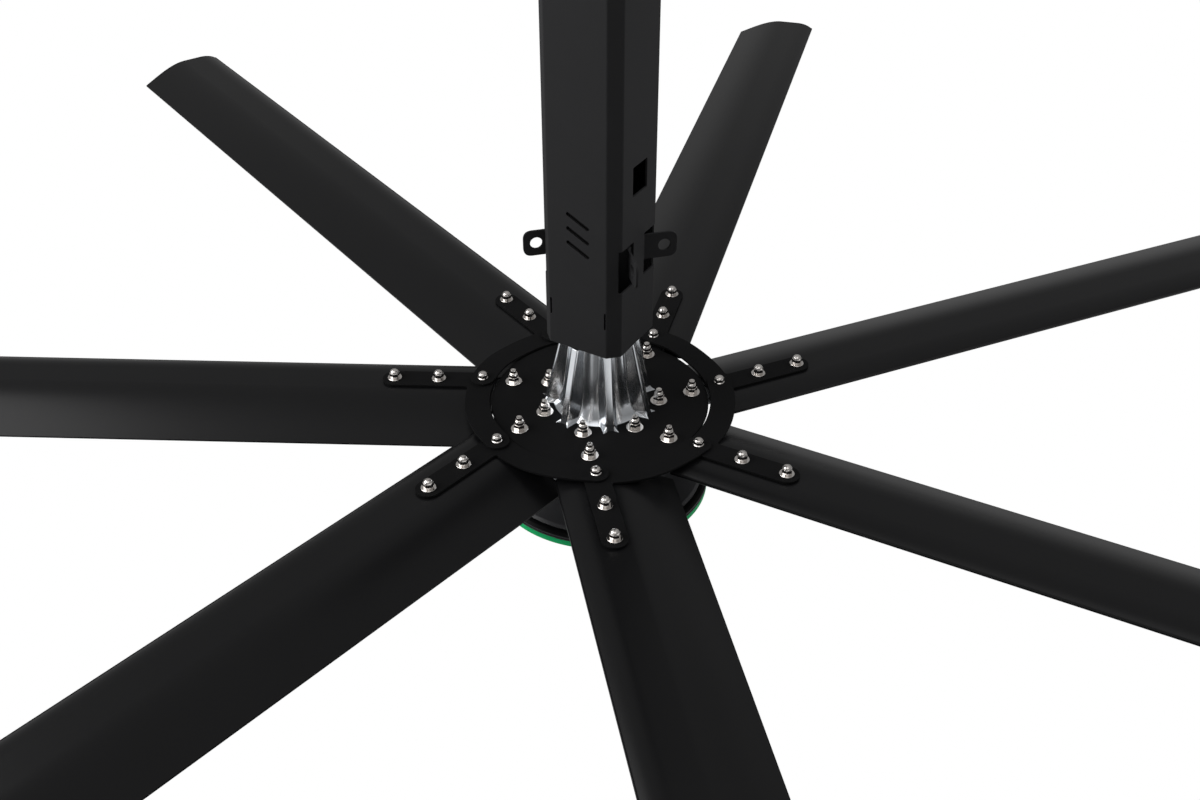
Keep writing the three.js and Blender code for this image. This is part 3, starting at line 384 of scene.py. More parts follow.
# The repeater: one tree that sets a piece at each of its spots and again round the rotor's axis
def repeaterTree(name, spotCount):
    tree = bpy.data.node_groups.new(name, "GeometryNodeTree")
    wanted = {"Piece": "Geometry", "Count": "Int", "Step": "Float", "Seed": "Int", "Scatter": "Float",
              "Finish": "Material", **{f"Spot {n + 1}": "Vector" for n in range(spotCount)}}
    for title, kind in wanted.items():
        tree.interface.new_socket(title, in_out="INPUT", socket_type=f"NodeSocket{kind}")
    tree.interface.new_socket("Result", in_out="OUTPUT", socket_type="NodeSocketGeometry")
    given = addNode(tree, "NodeGroupInput").outputs
    index = addNode(tree, "GeometryNodeInputIndex").outputs[0]
    angle = addNode(tree, "ShaderNodeMath", {0: index, 1: given["Step"]}, operation="MULTIPLY").outputs[0]
    joined = addNode(tree, "GeometryNodeJoinGeometry")
    for n in range(spotCount):
        seed = addNode(tree, "ShaderNodeMath", {0: given["Seed"], 1: n}, operation="ADD").outputs[0]
        chance = addNode(tree, "FunctionNodeRandomValue", {2: 0.0, 3: 1.0, 8: seed}).outputs[1]
        scatter = addNode(tree, "ShaderNodeMath", {0: chance, 1: given["Scatter"]}, operation="MULTIPLY")
        spin = addNode(tree, "ShaderNodeMath", {0: angle, 1: scatter.outputs[0]}, operation="ADD").outputs[0]
        upright = addNode(tree, "ShaderNodeCombineXYZ", {"Z": spin}).outputs[0]
        rotation = addNode(tree, "FunctionNodeEulerToRotation", {0: upright}).outputs[0]
        place = addNode(tree, "ShaderNodeVectorRotate", {"Vector": given[f"Spot {n + 1}"], "Angle": angle},
                        rotation_type="Z_AXIS").outputs[0]
        points = addNode(tree, "GeometryNodePoints", {"Count": given["Count"], "Position": place})
        copies = addNode(tree, "GeometryNodeInstanceOnPoints",
                         {"Points": points.outputs[0], "Instance": given["Piece"], "Rotation": rotation})
        tree.links.new(copies.outputs[0], joined.inputs[0])
    real = addNode(tree, "GeometryNodeRealizeInstances", {0: joined.outputs[0]})
    dressed = addNode(tree, "GeometryNodeSetMaterial", {"Geometry": real.outputs[0], "Material": given["Finish"]})
    addNode(tree, "NodeGroupOutput", {0: dressed.outputs[0]})
    return tree


trees = {count: repeaterTree(f"round the axis, {count} spots", count) for count in (1, 2)}
onAxis = [Vector((0, 0, 0))]


def repeated(name, bm, finish, spots, replaced=(), scatter=0.0, seed=1):
    # the piece at every spot of every blade, as one plain mesh on the rotor
    carrier = bpy.data.objects.new("carrier", toMesh(bm, Matrix.Identity(4)))
    bpy.context.scene.collection.objects.link(carrier)
    tree = trees[len(spots)]
    values = {"Count": bladeCount, "Step": bladeStep, "Seed": seed, "Scatter": scatter, "Finish": finishes[finish],
              **{f"Spot {n + 1}": where for n, where in enumerate(spots)}}
    modifier = carrier.modifiers.new("repeater", "NODES")
    modifier.node_group = tree
    for item in tree.interface.items_tree:
        if item.name in values:
            modifier[item.identifier] = values[item.name]
    bpy.context.view_layer.update()
    result = carrier.evaluated_get(bpy.context.evaluated_depsgraph_get())
    mesh = bpy.data.meshes.new_from_object(result)
    carrier.modifiers.clear()
    bpy.data.objects.remove(carrier)
    mesh.transform(onRotor)
    finished(name, mesh, finish, "rotor", replaced)


def everyBlade(stem):
    return [f"{stem}_{k + 1}" for k in range(bladeCount)]


def spot(station, height):
    return (stations[station], stations["line"], height)


def standing(bm, place=Matrix.Identity(4)):  # a piece in ceiling heights, millimetres
    return toMesh(bm, inRoom @ place)


def turnedLoop(loop, degrees, x, y):
    a = math.radians(degrees)
    return [Vector((x + p.x * math.cos(a) - p.y * math.sin(a), y + p.x * math.sin(a) + p.y * math.cos(a)))
            for p in loop]


# Steel column: a folded square tube with cut corners, its seam on the rear left corner
column = {
    "across": 116.8, "cornerCut": 14.7, "wall": 3.0, "bend": 4.0, "low": -682.0, "high": -22.0, "edge": 0.4,
    "slotLength": 37.0, "slotWidth": 5.2, "slotTilt": -26.5, "slotShift": 1.2, "slotHeight": -508.0,
    "slotPitch": 20.4, "wiringWidth": 36.0, "wiringTall": 40.5, "wiringHeight": -436.5, "wiringCorner": 1.5,
    "earMiddle": 31.15, "earWide": 34.3, "earTall": 62.0, "earHeight": -553.5, "earCorner": 1.2,
    "notchAt": 41.3, "notchWidth": 2.4, "notchTall": 25.0, "notchHeight": -625.0,
    "boltRadius": 6.6, "boltHeights": (-67.0, -127.0),
}


def columnTube(c):
    half, near = c["across"] / 2, c["across"] / 2 - c["cornerCut"]
    seam = Vector((-(half + near) / 2, (half + near) / 2))
    corners = [seam] + [Vector(p) for p in (
        (-half, near), (-half, -near), (-near, -half), (near, -half), (half, -near), (half, near), (near, half),
        (-near, half))]
    runs, total = foldPath(corners, c["bend"], closedPath=True)
    faces = [run for run in runs if not run["turn"]]
    left, front, right, rear = [(faces[i]["from"] + faces[i]["to"]) / 2 for i in (1, 3, 5, 7)]
    loops = [boxLoop(0, total, c["low"], c["high"])]
    slot = rounded(boxAt(0, 0, c["slotLength"], c["slotWidth"]), c["slotWidth"] / 2, 5)
    for middle in (front, rear):
        loops += [turnedLoop(slot, c["slotTilt"], middle + c["slotShift"], c["slotHeight"] + step * c["slotPitch"])
                  for step in (-1, 0, 1)]
    for middle in (left, right):
        wiring = boxAt(middle, c["wiringHeight"], c["wiringWidth"], c["wiringTall"])
        loops.append(rounded(wiring, c["wiringCorner"], 3))
        loops += [circle(middle, height, c["boltRadius"]) for height in c["boltHeights"]]
        for side in (-1, 1):
            opening = boxAt(middle + side * c["earMiddle"], c["earHeight"], c["earWide"], c["earTall"])
            loops.append(rounded(opening, c["earCorner"], 3))
    loops += [boxAt(front + side * c["notchAt"], c["notchHeight"], c["notchWidth"], c["notchTall"])
              for side in (-1, 1)]
    return fold(plate(loops, -c["wall"], 0, c["edge"]), runs, c["bend"])


finished("column", standing(columnTube(column)), "coat", "hanger", ["column_tube"])

# Thin black sheet inside the column, behind the front louvres: painted shade, a dark sheet that stands for the shade
# inside the tube, so that no light shows through the slots
louvreShadeSheet = {"half": 22.0, "low": -542.0, "high": -474.0, "from": 53.6, "to": 54.8, "corner": 3.0, "edge": 0.2}


def shadeSheet(s):
    outline = rounded(boxLoop(-s["half"], s["half"], s["low"], s["high"]), s["corner"])
    return plate([outline], s["from"], s["to"], s["edge"])


facingFront = Matrix.Rotation(math.pi / 2, 4, "X")
finished("louvre_painted_shade", standing(shadeSheet(louvreShadeSheet), facingFront), "moulded", "hanger")
print("column folded")

# Ears for guy wires: one bent plate for each side of the column
cornerReach = 1.2  # a corner's curve starts this many radii from it, as it is flatter than a circle
ears = {"baseX": 53.5, "bendY": 21.0, "leg": 45.8, "tall": 36.8, "corner": 10.0, "thick": 3.2, "eye": 8.3,
        "eyeFromEnd": 17.5, "height": -547.2, "bend": 5.0, "edge": 0.5}


def earPlate(e):
    x, y, arm = e["baseX"], e["bendY"], e["leg"] / math.sqrt(2)
    corners = [Vector(p) for p in ((x + arm, y + arm), (x, y), (x, -y), (x + arm, -y - arm))]
    runs, total = foldPath(corners, e["bend"])
    loops = [rounded(boxAt(total / 2, e["height"], total, e["tall"]), e["corner"] * cornerReach, 8)]
    loops += [circle(at, e["height"], e["eye"], 40) for at in (e["eyeFromEnd"], total - e["eyeFromEnd"])]
    return fold(plate(loops, -e["thick"] / 2, e["thick"] / 2, e["edge"]), runs, e["bend"])


bothSides = (("right", 0), ("left", math.pi))
for side, turn in bothSides:
    mesh = standing(earPlate(ears), Matrix.Rotation(turn, 4, "Z"))
    finished(f"guy_ears_{side}", mesh, "coat", "hanger", [f"guy_bracket_{side}"])

# Ceiling bracket: flat plate, two bent cheeks, their bolts
ceiling = {"length": 260.0, "width": 190.0, "thick": 8.0, "corner": 12.0, "hole": 7.0, "inset": 22.0, "edge": 0.8}


def ceilingPlate(c):
    x, y = c["length"] / 2, c["width"] / 2
    loops = [rounded(boxLoop(-x, x, -y, y), c["corner"] * cornerReach, 6)]
    loops += [circle(sx * (x - c["inset"]), sy * (y - c["inset"]), c["hole"]) for sx in (-1, 1) for sy in (-1, 1)]
    return plate(loops, -c["thick"], 0, c["edge"])


finished("ceiling_bracket", standing(ceilingPlate(ceiling)), "coat", "hanger", ["ceiling_plate"])
cheek = {"x": 58.7, "low": -158.3, "top": -8.3, "reach": 124.7, "half": 48.0, "thick": 6.0, "bend": 9.0,
         "cut": 10.0, "soft": 2.0, "boltHole": 6.6, "footHole": 5.6, "spread": 28.0, "footX": 94.7, "edge": 0.6}


def bentCheek(c):
    corners = [Vector((c["x"], c["low"])), Vector((c["x"], c["top"])), Vector((c["reach"], c["top"]))]
    runs, total = foldPath(corners, c["bend"])
    half, cut = c["half"], c["cut"]
    outline = [Vector(p) for p in ((0, cut - half), (cut, -half), (total, -half), (total, half), (cut, half),
                                   (0, half - cut))]
    loops = [rounded(outline, c["soft"], 3)]
    loops += [circle(height - c["low"], 0, c["boltHole"]) for height in column["boltHeights"]]
    loops += [circle(total - (c["reach"] - c["footX"]), side * c["spread"], c["footHole"]) for side in (-1, 1)]
    return fold(plate(loops, 0, c["thick"], c["edge"]), runs, c["bend"])


for side, turn in bothSides:
    place = Matrix.Rotation(turn, 4, "Z") @ facingFront
    finished(f"cheek_{side}", standing(bentCheek(cheek), place), "coat", "hanger",
             [f"mount_cheek_{side}"])

footBolt = {"x": cheek["footX"], "y": cheek["spread"], "low": -23.1, "hex": 9.2, "head": 6.5, "neck": 7.6,
            "washer": 10.0, "washerTop": 8.5, "washerEdge": 0.2, "shank": 5.0, "length": 20.6}


def footBoltStack(f):  # head below, washer, shank
    return lathe([(0, 0), (f["hex"] - 1.7, 0), (f["hex"] - 0.6, 0.5, "hex"), (f["hex"], 1.4, "hex"),
                  (f["hex"], f["head"], "hex"), (f["neck"], f["head"]),
                  *washerLevels(f["washer"], f["head"], f["washerTop"], f["washerEdge"]),
                  (f["shank"], f["washerTop"]), (f["shank"], f["length"]), (0, f["length"])],
                 f["hex"])


for wordX, sideX in (("right", 1), ("left", -1)):
    for wordY, sideY in (("front", -1), ("rear", 1)):
        place = Matrix.Translation((sideX * footBolt["x"], sideY * footBolt["y"], footBolt["low"]))
        mesh = standing(footBoltStack(footBolt), place)
        finished(f"bolt_foot_{wordX}_{wordY}", mesh, "zinc", "hanger", [f"foot_bolt_{wordX}_{wordY}"])

crossBolt = {"face": 65.0, "washer": 12.0, "washerThick": 2.5, "hex": 10.4, "head": 8.0, "chamfer": 2.0,
             "radius": 6.0, "beyond": 3.0, "tip": 0.6}


def crossBoltStack(c):  # head, washer, shank, washer, nut and the end of the bolt
    size, radius, face = c["hex"], c["radius"], c["face"]
    out = face + c["washerThick"]
    end = out + c["head"]
    tip = end + c["beyond"]
    return lathe([(0, -end), (size - c["chamfer"], -end), (size, c["chamfer"] / 2 - end, "hex"), (size, -out, "hex"),
                  *washerLevels(c["washer"], -out, -face), (radius, -face), (radius, face),
                  *washerLevels(c["washer"], face, out), (size, out, "hex"), (size, end - c["chamfer"] / 2, "hex"),
                  (size - c["chamfer"], end), (radius, end), (radius, tip - c["tip"]), (radius - c["tip"], tip),
                  (0, tip)], size)


for word, height in zip(("upper", "lower"), column["boltHeights"]):
    place = Matrix.Translation((0, 0, height)) @ Matrix.Rotation(math.pi / 2, 4, "Y")
    mesh = standing(crossBoltStack(crossBolt), place)
    finished(f"bolt_cross_{word}", mesh, "zinc", "hanger", [f"cross_bolt_{word}"])
print("ceiling bracket done")

# Hub casting: seven ribs on a flared cone
casting = {
    "base": 65.5, "flare": 49.6, "flareHeight": 40.0, "bend": 10.0, "neck": 41.5, "top": 112.0,
    "flange": 142.0, "flangeTop": -16.6, "flangeLow": -26.6, "edge": 1.0,
    "faceFoot": 78.3, "faceTop": 53.5, "faceHalf": 4.5, "shoulder": 2.2, "shoulderHalf": 1.4,
    "footReach": 82.5, "footHalf": 10.8, "footHeight": 8.0, "rootHalf": 12.0, "topHalf": 8.0,
    "softCorners": (0, 1.0, 1.2, 2.0, 0), "landing": 0.06,  # radii from face to root; radians from root to cone
    "bore": [(36.3, 112.0), (36.3, 89.7), (30.0, 89.7), (30.0, 81.7), (35.5, 25.0), (54.0, -12.0), (54.0, -26.6)],
}


def bodyRadius(c, z):  # of the cone between the ribs
    if z <= 0:
        return c["base"]
    rise = c["top"] - c["flareHeight"]
    slope = (c["flare"] - c["neck"]) / rise
    if z < c["flareHeight"]:
        low = c["bend"]  # height of the curve's middle point, on the cone's own line
        middle = c["flare"] + slope * (c["flareHeight"] - low)
        a = c["flareHeight"] - 2 * low
        t = (math.sqrt(low * low + a * z) - low) / a
        return c["base"] * (1 - t) ** 2 + 2 * t * (1 - t) * middle + c["flare"] * t * t
    return c["flare"] - slope * (z - c["flareHeight"])


def castingRing(c, z):
    # one level of the casting, the same number of points at each
    level = max(z, 0)
    share = level / c["top"]
    face = c["faceFoot"] + (c["faceTop"] - c["faceFoot"]) * share
    foot = max(0.0, 1 - level / c["footHeight"]) ** 2
    shoulderX = face - c["shoulder"] + (c["footReach"] - c["faceFoot"] + c["shoulder"]) * foot
    slim = c["faceHalf"] + c["shoulderHalf"]
    shoulderY = slim + (c["footHalf"] - slim) * foot
    rootY = c["rootHalf"] + (c["topHalf"] - c["rootHalf"]) * share
    body = bodyRadius(c, z)
    rootX = math.sqrt(body * body - rootY * rootY)
    flank = [Vector((face, 0)), Vector((face, c["faceHalf"])), Vector((shoulderX, shoulderY)), Vector((rootX, rootY))]
    start, end = math.atan2(rootY, rootX) + c["landing"], bladeStep / 2
    onCone = [Vector((body * math.cos(a), body * math.sin(a)))
              for a in (start + (end - start) * i / 10 for i in range(11))]
    path = rounded(flank + onCone[:1], c["softCorners"], closedLoop=False) + onCone[1:]
    ring = []
    for k in range(bladeCount):
        turn = Matrix.Rotation(k * bladeStep, 2)
        ring += [turn @ Vector((p.x, -p.y)) for p in reversed(path[1:-1])]
        ring += [turn @ p for p in path[:1] + path[1:-1]]
        ring += [turn @ path[-1]]
    return ring


def castingShell(c):
    bm = bmesh.new()
    shape = castingRing(c, 0)
    angles = [math.atan2(p.y, p.x) for p in shape]

    def circleAt(radius, z):
        return [bm.verts.new((radius * math.cos(a), radius * math.sin(a), z)) for a in angles]

    def loopAt(loop, z):
        return [bm.verts.new((p.x, p.y, z)) for p in loop]

    e, foot, flare, top = c["edge"], c["footHeight"], c["flareHeight"], c["top"]
    rings = [circleAt(radius, z) for radius, z in washerLevels(c["flange"], c["flangeLow"], c["flangeTop"], e)]
    heights = [c["flangeTop"], -4, -0.5] + [foot * (i / 8) ** 1.5 for i in range(9)]  # closer where the foot curves
    heights += [foot + (flare - foot) * i / 6 for i in range(1, 7)]
    heights += [flare + (top - e - flare) * i / 12 for i in range(1, 13)]
    rings += [loopAt(castingRing(c, z), z) for z in heights]
    rings += [loopAt(inset(castingRing(c, top), depth), z) for depth, z in ((0.3 * e, top - 0.3 * e), (e, top))]
    rings += [circleAt(radius, z) for radius, z in c["bore"]]
    count = len(shape)
    for a, b in zip(rings, rings[1:] + rings[:1]):
        for i in range(count):
            k = (i + 1) % count
            bm.faces.new((a[i], a[k], b[k], b[i]))
    return bm


finished("hub_cone", toMesh(castingShell(casting), onRotor), "casting", "rotor", ["hub_casting"],
         sharpDegrees=40)
print("casting lofted")

# Hub disc, its hole notched round the casting's ribs
hubDisc = {"radius": 154.0, "thick": 4.0, "gap": 0.35, "edge": 0.3}


def discSheet(d):
    hole = inset(castingRing(casting, 0), -d["gap"])
    return plate([circle(0, 0, d["radius"], 224), hole], -d["thick"], 0, d["edge"])


finished("hub_plate", toMesh(discSheet(hubDisc), onRotor), "sheet", "rotor", ["hub_disc"])

# Studs with their nuts, two on each blade's strut
discStud = {"low": -6.0, "washer": 12.0, "washerTop": 1.8, "hex": 8.2, "nutTop": 10.0, "collar": 6.7,
            "collarTop": 13.2, "dome": ((6.5, 0.9), (6.1, 1.9), (5.5, 2.8)), "lip": 4.9, "domeTop": 17.0,
            "stud": 4.2, "studTop": 21.1, "socket": 2.3}


def studStack(d):  # washer, self-locking nut with its domed collar, end of the stud
    washer, nut, collar, top, end = d["washerTop"], d["nutTop"], d["collarTop"], d["domeTop"], d["studTop"]
    size, stud = d["hex"], d["stud"]
    return lathe([
        (0, d["low"]), (stud, d["low"]), (stud, 0), *washerLevels(d["washer"], 0, washer),
        (size - 0.8, washer, "hex"), (size, washer + 0.5, "hex"), (size, nut - 0.6, "hex"),
        (size - 0.5, nut - 0.25, "hex"), (d["collar"] + 0.3, nut, "hex"), (d["collar"], nut), (d["collar"], collar),
        *[(radius, collar + rise) for radius, rise in d["dome"]], (d["lip"], top - 0.2), (stud + 0.2, top),
        (stud, top - 0.2), (stud, end - 0.9), (stud - 0.3, end - 0.3), (stud - 0.9, end), (d["socket"], end),
        (0.7, end - 0.8), (0, end - 0.9),
    ], size)


anyTurn = math.radians(60)  # nuts end up at any angle of their hexagon
repeated("disc_studs", studStack(discStud), "zinc", [spot("discInner", 0), spot("discOuter", 0)],
         scatter=anyTurn, seed=4)

# Retaining links: an arm on its blade and an arc whose lobe laps the next link
linkSheet = {"thick": 3.5, "bottom": -0.7, "rise": 3.8, "half": 17.5, "inner": 156.6, "outer": 191.7, "end": 298.9,
             "riseFrom": 6.0, "riseTo": 30.0, "edge": 0.5, "fillet": 7.0}


def linkOutline(s):
    line, radius = stations["line"], math.hypot(stations["ring"], stations["line"])
    root = math.degrees(math.atan2(line, stations["ring"]))
    lobe = root + 360 / bladeCount
    outer, inner, half = s["outer"], s["inner"], s["half"]
    upper = line + half
    meet = math.degrees(math.asin(upper / outer))
    lobeAt = (radius * math.cos(math.radians(lobe)), radius * math.sin(math.radians(lobe)))
    corner = Vector((outer * math.cos(math.radians(meet)), upper))
    away = math.degrees(s["fillet"] / outer)
    after = arc((0, 0), outer, meet + away, lobe - 1, 20)
    path = arc((s["end"], line), half, -90, 90, 20)
    entry = Vector((corner.x + 3 * s["fillet"], upper))
    path += rounded([entry, corner, after[0]], s["fillet"], 8, closedLoop=False)[1:]
    path += after[1:] + arc(lobeAt, half, lobe, lobe + 180, 20)
    path += arc((0, 0), inner, lobe - 1, root + 1, 20) + arc((stations["ring"], line), half, 180 + root, 270, 10)
    return path


def linkPlate(s):  # the ring part climbs evenly, so that its lobe lies on the next link
    bm = plate([linkOutline(s)], s["bottom"], s["bottom"] + s["thick"], s["edge"])
    steps = 12
    for i in range(steps + 1):
        angle = math.radians(s["riseFrom"] + (s["riseTo"] - s["riseFrom"]) * i / steps)
        cutAcross(bm, (0, 0, 0), (-math.sin(angle), math.cos(angle), 0))
    for vert in bm.verts:
        angle = math.degrees(math.atan2(vert.co.y, vert.co.x))
        t = min(max((angle - s["riseFrom"]) / (s["riseTo"] - s["riseFrom"]), 0), 1)
        vert.co.z += s["rise"] * t * t * (3 - 2 * t)
    return bm


repeated("links", linkPlate(linkSheet), "sheet", onAxis, everyBlade("retaining_link"))

# Cap nuts on the links: with washer and spring washer on an arm, with a collar on the ring
armBolt = {"low": -8.0, "shank": 4.0, "washer": 10.2, "washerThick": 1.6, "spring": 7.0, "springThick": 2.4,
           "springEdge": 0.2, "hex": 7.5, "flats": 5.8, "dome": 6.3, "head": 10.8}
ringBolt = {"low": -12.0, "shank": 4.0, "collar": 7.4, "collarThick": 1.6, "slope": 1.0, "hex": 7.3, "flats": 4.4,
            "dome": 6.3, "head": 8.0}


def capNutLevels(b, seat):  # a hexagon below, a dome above
    size, flats, rise, steps = b["hex"], seat + b["flats"], b["head"] - b["flats"], 6
    angles = [math.pi / 2 * k / steps for k in range(steps)]
    dome = [(b["dome"] * math.cos(a), flats + rise * math.sin(a)) for a in angles]
    return [(size - 0.9, seat, "hex"), (size, seat + 0.5, "hex"), (size, flats - 0.8, "hex"),
            (size - 0.5, flats - 0.2, "hex"), *dome, (0, flats + rise)]


def armBoltStack(b):
    low = b["washerThick"]
    seat = low + b["springThick"]
    return lathe([(0, b["low"]), (b["shank"], b["low"]), (b["shank"], 0), *washerLevels(b["washer"], 0, low),
                  *washerLevels(b["spring"], low, seat, b["springEdge"]), *capNutLevels(b, seat)], b["hex"])


def ringBoltStack(b):
    seat, collar, slope = b["collarThick"], b["collar"], b["slope"]
    return lathe([(0, b["low"]), (b["shank"], b["low"]), (b["shank"], 0), (collar - 0.2, 0), (collar, washerEdge),
                  (collar, seat - slope - 0.1), (collar - slope, seat - 0.1), (collar - slope - 0.2, seat),
                  *capNutLevels(b, seat)], b["hex"])


linkTop = linkSheet["bottom"] + linkSheet["thick"]
lobeTop = linkTop + linkSheet["rise"]
repeated("arm_bolts", armBoltStack(armBolt), "zinc", [spot("armInner", linkTop), spot("armOuter", linkTop)],
         scatter=anyTurn, seed=9)
repeated("ring_bolts", ringBoltStack(ringBolt), "zinc", [spot("ring", lobeTop)], scatter=anyTurn, seed=2)
print("hub hardware set")

# Hollow extruded blades: flat over the strut, falling to a fine trailing edge
blade = {
    "root": 154.0, "tip": 1525.0, "crown": -1.0, "leading": 91.0, "trailing": 71.5, "flatAft": 20.0,
    "flatFore": 56.0, "nose": 4.3, "noseDrop": 12.6, "tailDrop": 34.4, "tailThick": 2.4, "wall": 3.0,
    "aftShares": ((0, 0), (0.33, 0), (0.71, 0.61), (1, 1)), "foreShares": ((0, 0), (0.45, 0), (0.8, 0.45), (1, 1)),
    "cellHalf": 17.5, "edge": 0.4,
}


def bezier(shares, start, run, steps):
    points = []
    for i in range(steps + 1):
        t = i / steps
        weights = ((1 - t) ** 3, 3 * t * (1 - t) ** 2, 3 * t * t * (1 - t), t ** 3)
        points.append(Vector((start[0] + run[0] * sum(w * s[0] for w, s in zip(weights, shares)),
                              start[1] + run[1] * sum(w * s[1] for w, s in zip(weights, shares)))))
    return points


def bladeSection(b):
    # the outline and the top skin, chord along x and height along y
    aft = bezier(b["aftShares"], (-b["flatAft"], b["crown"]),
                 (b["trailing"] + b["flatAft"], -(b["tailDrop"] + b["crown"])), 24)
    foreRun = b["leading"] - b["flatFore"] - b["nose"] / 2
    foreDrop = b["noseDrop"] - b["nose"] / 2
    fore = bezier(b["foreShares"], (-b["flatFore"], b["crown"]), (-foreRun, -(foreDrop + b["crown"])), 14)
    centre = (b["nose"] - b["leading"], -b["noseDrop"])
    nose = arc(centre, b["nose"], 150, 270, 8)
    tail = Vector((b["trailing"], -(b["tailDrop"] + b["tailThick"])))
    outline = aft[::-1] + fore + nose + [tail]
    return outline, fore[::-1] + aft, nose[-1], tail


def heightOn(line, x):
    for a, b in zip(line, line[1:]):
        if a.x <= x <= b.x:
            return a.y + (b.y - a.y) * (x - a.x) / (b.x - a.x)
    return line[-1].y


def cells(b):
    # three hollows, one wall inside the skin
    outline, top, low, tail = bladeSection(b)
    floor = [low, tail]
    wall, half, line = b["wall"], b["cellHalf"], stations["line"]
    spans = ((2.5 * wall - b["leading"], line - half - wall), (line - half, line + half),
             (line + half + wall, b["trailing"] - 5 * wall))
    loops = []
    for fore, aft in spans:
        xs = [fore] + [p.x for p in top if fore < p.x < aft] + [aft]
        path = [Vector((x, heightOn(top, x) - wall)) for x in xs]
        path += [Vector((aft, heightOn(floor, aft) + wall)), Vector((fore, heightOn(floor, fore) + wall))]
        loops.append(path)
    return loops


alongX = Matrix(((0, 0, 1, 0), (1, 0, 0, 0), (0, 1, 0, 0), (0, 0, 0, 1)))  # depth runs out along the blade


def bladeBar(b):
    bm = plate([bladeSection(b)[0]] + cells(b), b["root"], b["tip"], b["edge"])
    bm.transform(alongX)
    layer = bm.loops.layers.uv.new("alongBlade")
    for face in bm.faces:
        for corner in face.loops:
            corner[layer].uv = (corner.vert.co.x * mm, corner.vert.co.y * mm)
    return bm


repeated("blades", bladeBar(blade), "blade", onAxis, everyBlade("blade"))
tipCap = {"start": 1525.3, "thick": 4.0, "edge": 1.0, "plug": 10.2, "plugEdge": 0.3, "clear": 0.6}


def capPlate(c):
    bm = plate([bladeSection(blade)[0]], c["start"], c["start"] + c["thick"], c["edge"])
    middleCell = inset(cells(blade)[1], -c["clear"])  # the cells run clockwise, so this moves inwards
    plate([middleCell], c["start"] - c["plug"], c["start"] + c["thick"] / 2, c["plugEdge"], bm)
    bm.transform(alongX)
    return bm


repeated("tip_caps", capPlate(tipCap), "moulded", onAxis, everyBlade("blade_tip_cap"))
print("blades drawn out")

# Turned parts, their sections in radius and height from the top of the disc
turned = {
    "motor_can": {"finish": "can", "slot": "bright_alloy", "replaces": "rotor_can", "soft": 1.2, "section": [
        (36.3, -103), (105, -103), (105, -34.9), (141, -34.9), (141, -26.9), (95, -26.9), (95, -93), (44, -93),
        (44, -81.5), (30, -81.5), (30, -85.7), (36.3, -85.7)]},
    # the dish and spacer_ring take the lightened grey: painted light on the dish, a painted dim reflection on the
    # spacer
    "dish": {"finish": "dish", "slot": "black_plastic", "replaces": "lower_dish", "soft": 0.7, "section": [
        (60, -106.5), (104, -106.5), (144.2, -120.9), (147.4, -124), (150, -122), (146.3, -117.9), (104, -103.3),
        (60, -103.3)]},
    "spacer_ring": {"finish": "dish", "slot": "bright_alloy", "replaces": "trim_spacer", "soft": 0.2, "section": [
        (155.2, -134.3), (158.3, -134.3), (158.3, -132.9), (156.4, -132.7), (156.4, -130.6), (158.4, -130.4),
        (158.4, -128.9), (155.2, -128.9)]},
    "green_band": {"finish": "green", "slot": "green_trim", "replaces": "green_trim_ring", "soft": 0.5, "section": [
        (147.1, -145.8), (153.5, -145.8), (157.6, -144), (158.4, -134.6), (147.1, -134.6)]},
    # from the middle below, up inside the green band and spacer to a shoulder, and back along its inner face
    "under_cover": {
        "finish": "moulded", "slot": "black_plastic", "replaces": "bottom_cover", "soft": 0.6, "section": [
        (0, -157.9), (60, -157.2), (110, -154.6), (140, -149.8), (150.8, -146.9), (150.8, -146.1), (146.8, -146.1),
        (146.8, -134.3), (154.9, -134.3), (154.9, -128.6), (158.4, -128.5), (158.4, -127), (155, -124),
        (150.6, -122.4), (147.8, -124.5), (144, -124.5), (144, -146), (135, -148), (108, -151.6), (60, -154.4),
        (0, -155.1)]},
    "neck_cap": {"finish": "coat", "slot": "black_coat", "replaces": "bearing_cap", "soft": 0.4, "section": [
        (24, 112.3), (50, 112.3), (50, 114.9), (24, 114.9)]},
}
for name, t in turned.items():
    bm = lathe(turnedSection(t["section"], t["soft"]), sides=turnedSides)
    finished(name, toMesh(bm, onRotor), t["finish"], "rotor", [t["replaces"]])
print("turned parts done")

# Motor and other inner parts keep their solids
innerFinishes = {
    "steel": ["motor_shaft", "column_end_plate", "upper_bearing_inner", "lower_bearing_inner", "shaft_nut",
              "upper_bearing_outer", "lower_bearing_outer", "stator_core"] + everyBlade("blade_strut"),
    "copper": ["stator_winding"], "can": ["drive_unit"], "sheath": ["motor_cable"],
}
for finish, nodes in innerFinishes.items():
    for node in nodes:
        solid = frame["nodes"][node]
        solid.data.materials.clear()
        solid.data.materials.append(finishes[finish])

# White floor far below and a bright room. What reflections see is graded, so that polished metal has contrast:
# the floor is dark in the middle, toward the camera, and bright at both flanks, and the sky has a softbox.
room = {
    "floorColour": "#ececec", "floorRough": 0.9, "floorZ": -3.2, "floorHalf": 40.0,
    "viewer": (0.506, -0.8625, 0), "aside": (0.8625, 0.506, 0),  # toward the camera and across the view
    "fadeSpan": (-2.0, 14.0), "floorFade": ((0.05, 0.3), (0.18, 0.04), (0.42, 0.06), (0.95, 0.6)),
    "flanks": (2.1, 3.8), "behind": (-5.0, -1.0),
    "sky": ((0.0, 0.35), (0.34, 0.24), (0.59, 0.34), (0.79, 0.42), (1.0, 0.45)), "skyOnMatt": 0.22,
    "softbox": (0.26, -0.442, 0.859), "softboxEdge": (0.88, 0.97), "softboxLevel": 0.9,
}
pureWhite = (1, 1, 1, 1)


def setStops(ramp, stops):
    first, *middle, last = stops
    for element, (position, level) in zip(list(ramp.elements), (first, last)):
        element.position = position
        element.color = (level, level, level, 1)
    for position, level in middle:
        ramp.elements.new(position).color = (level, level, level, 1)


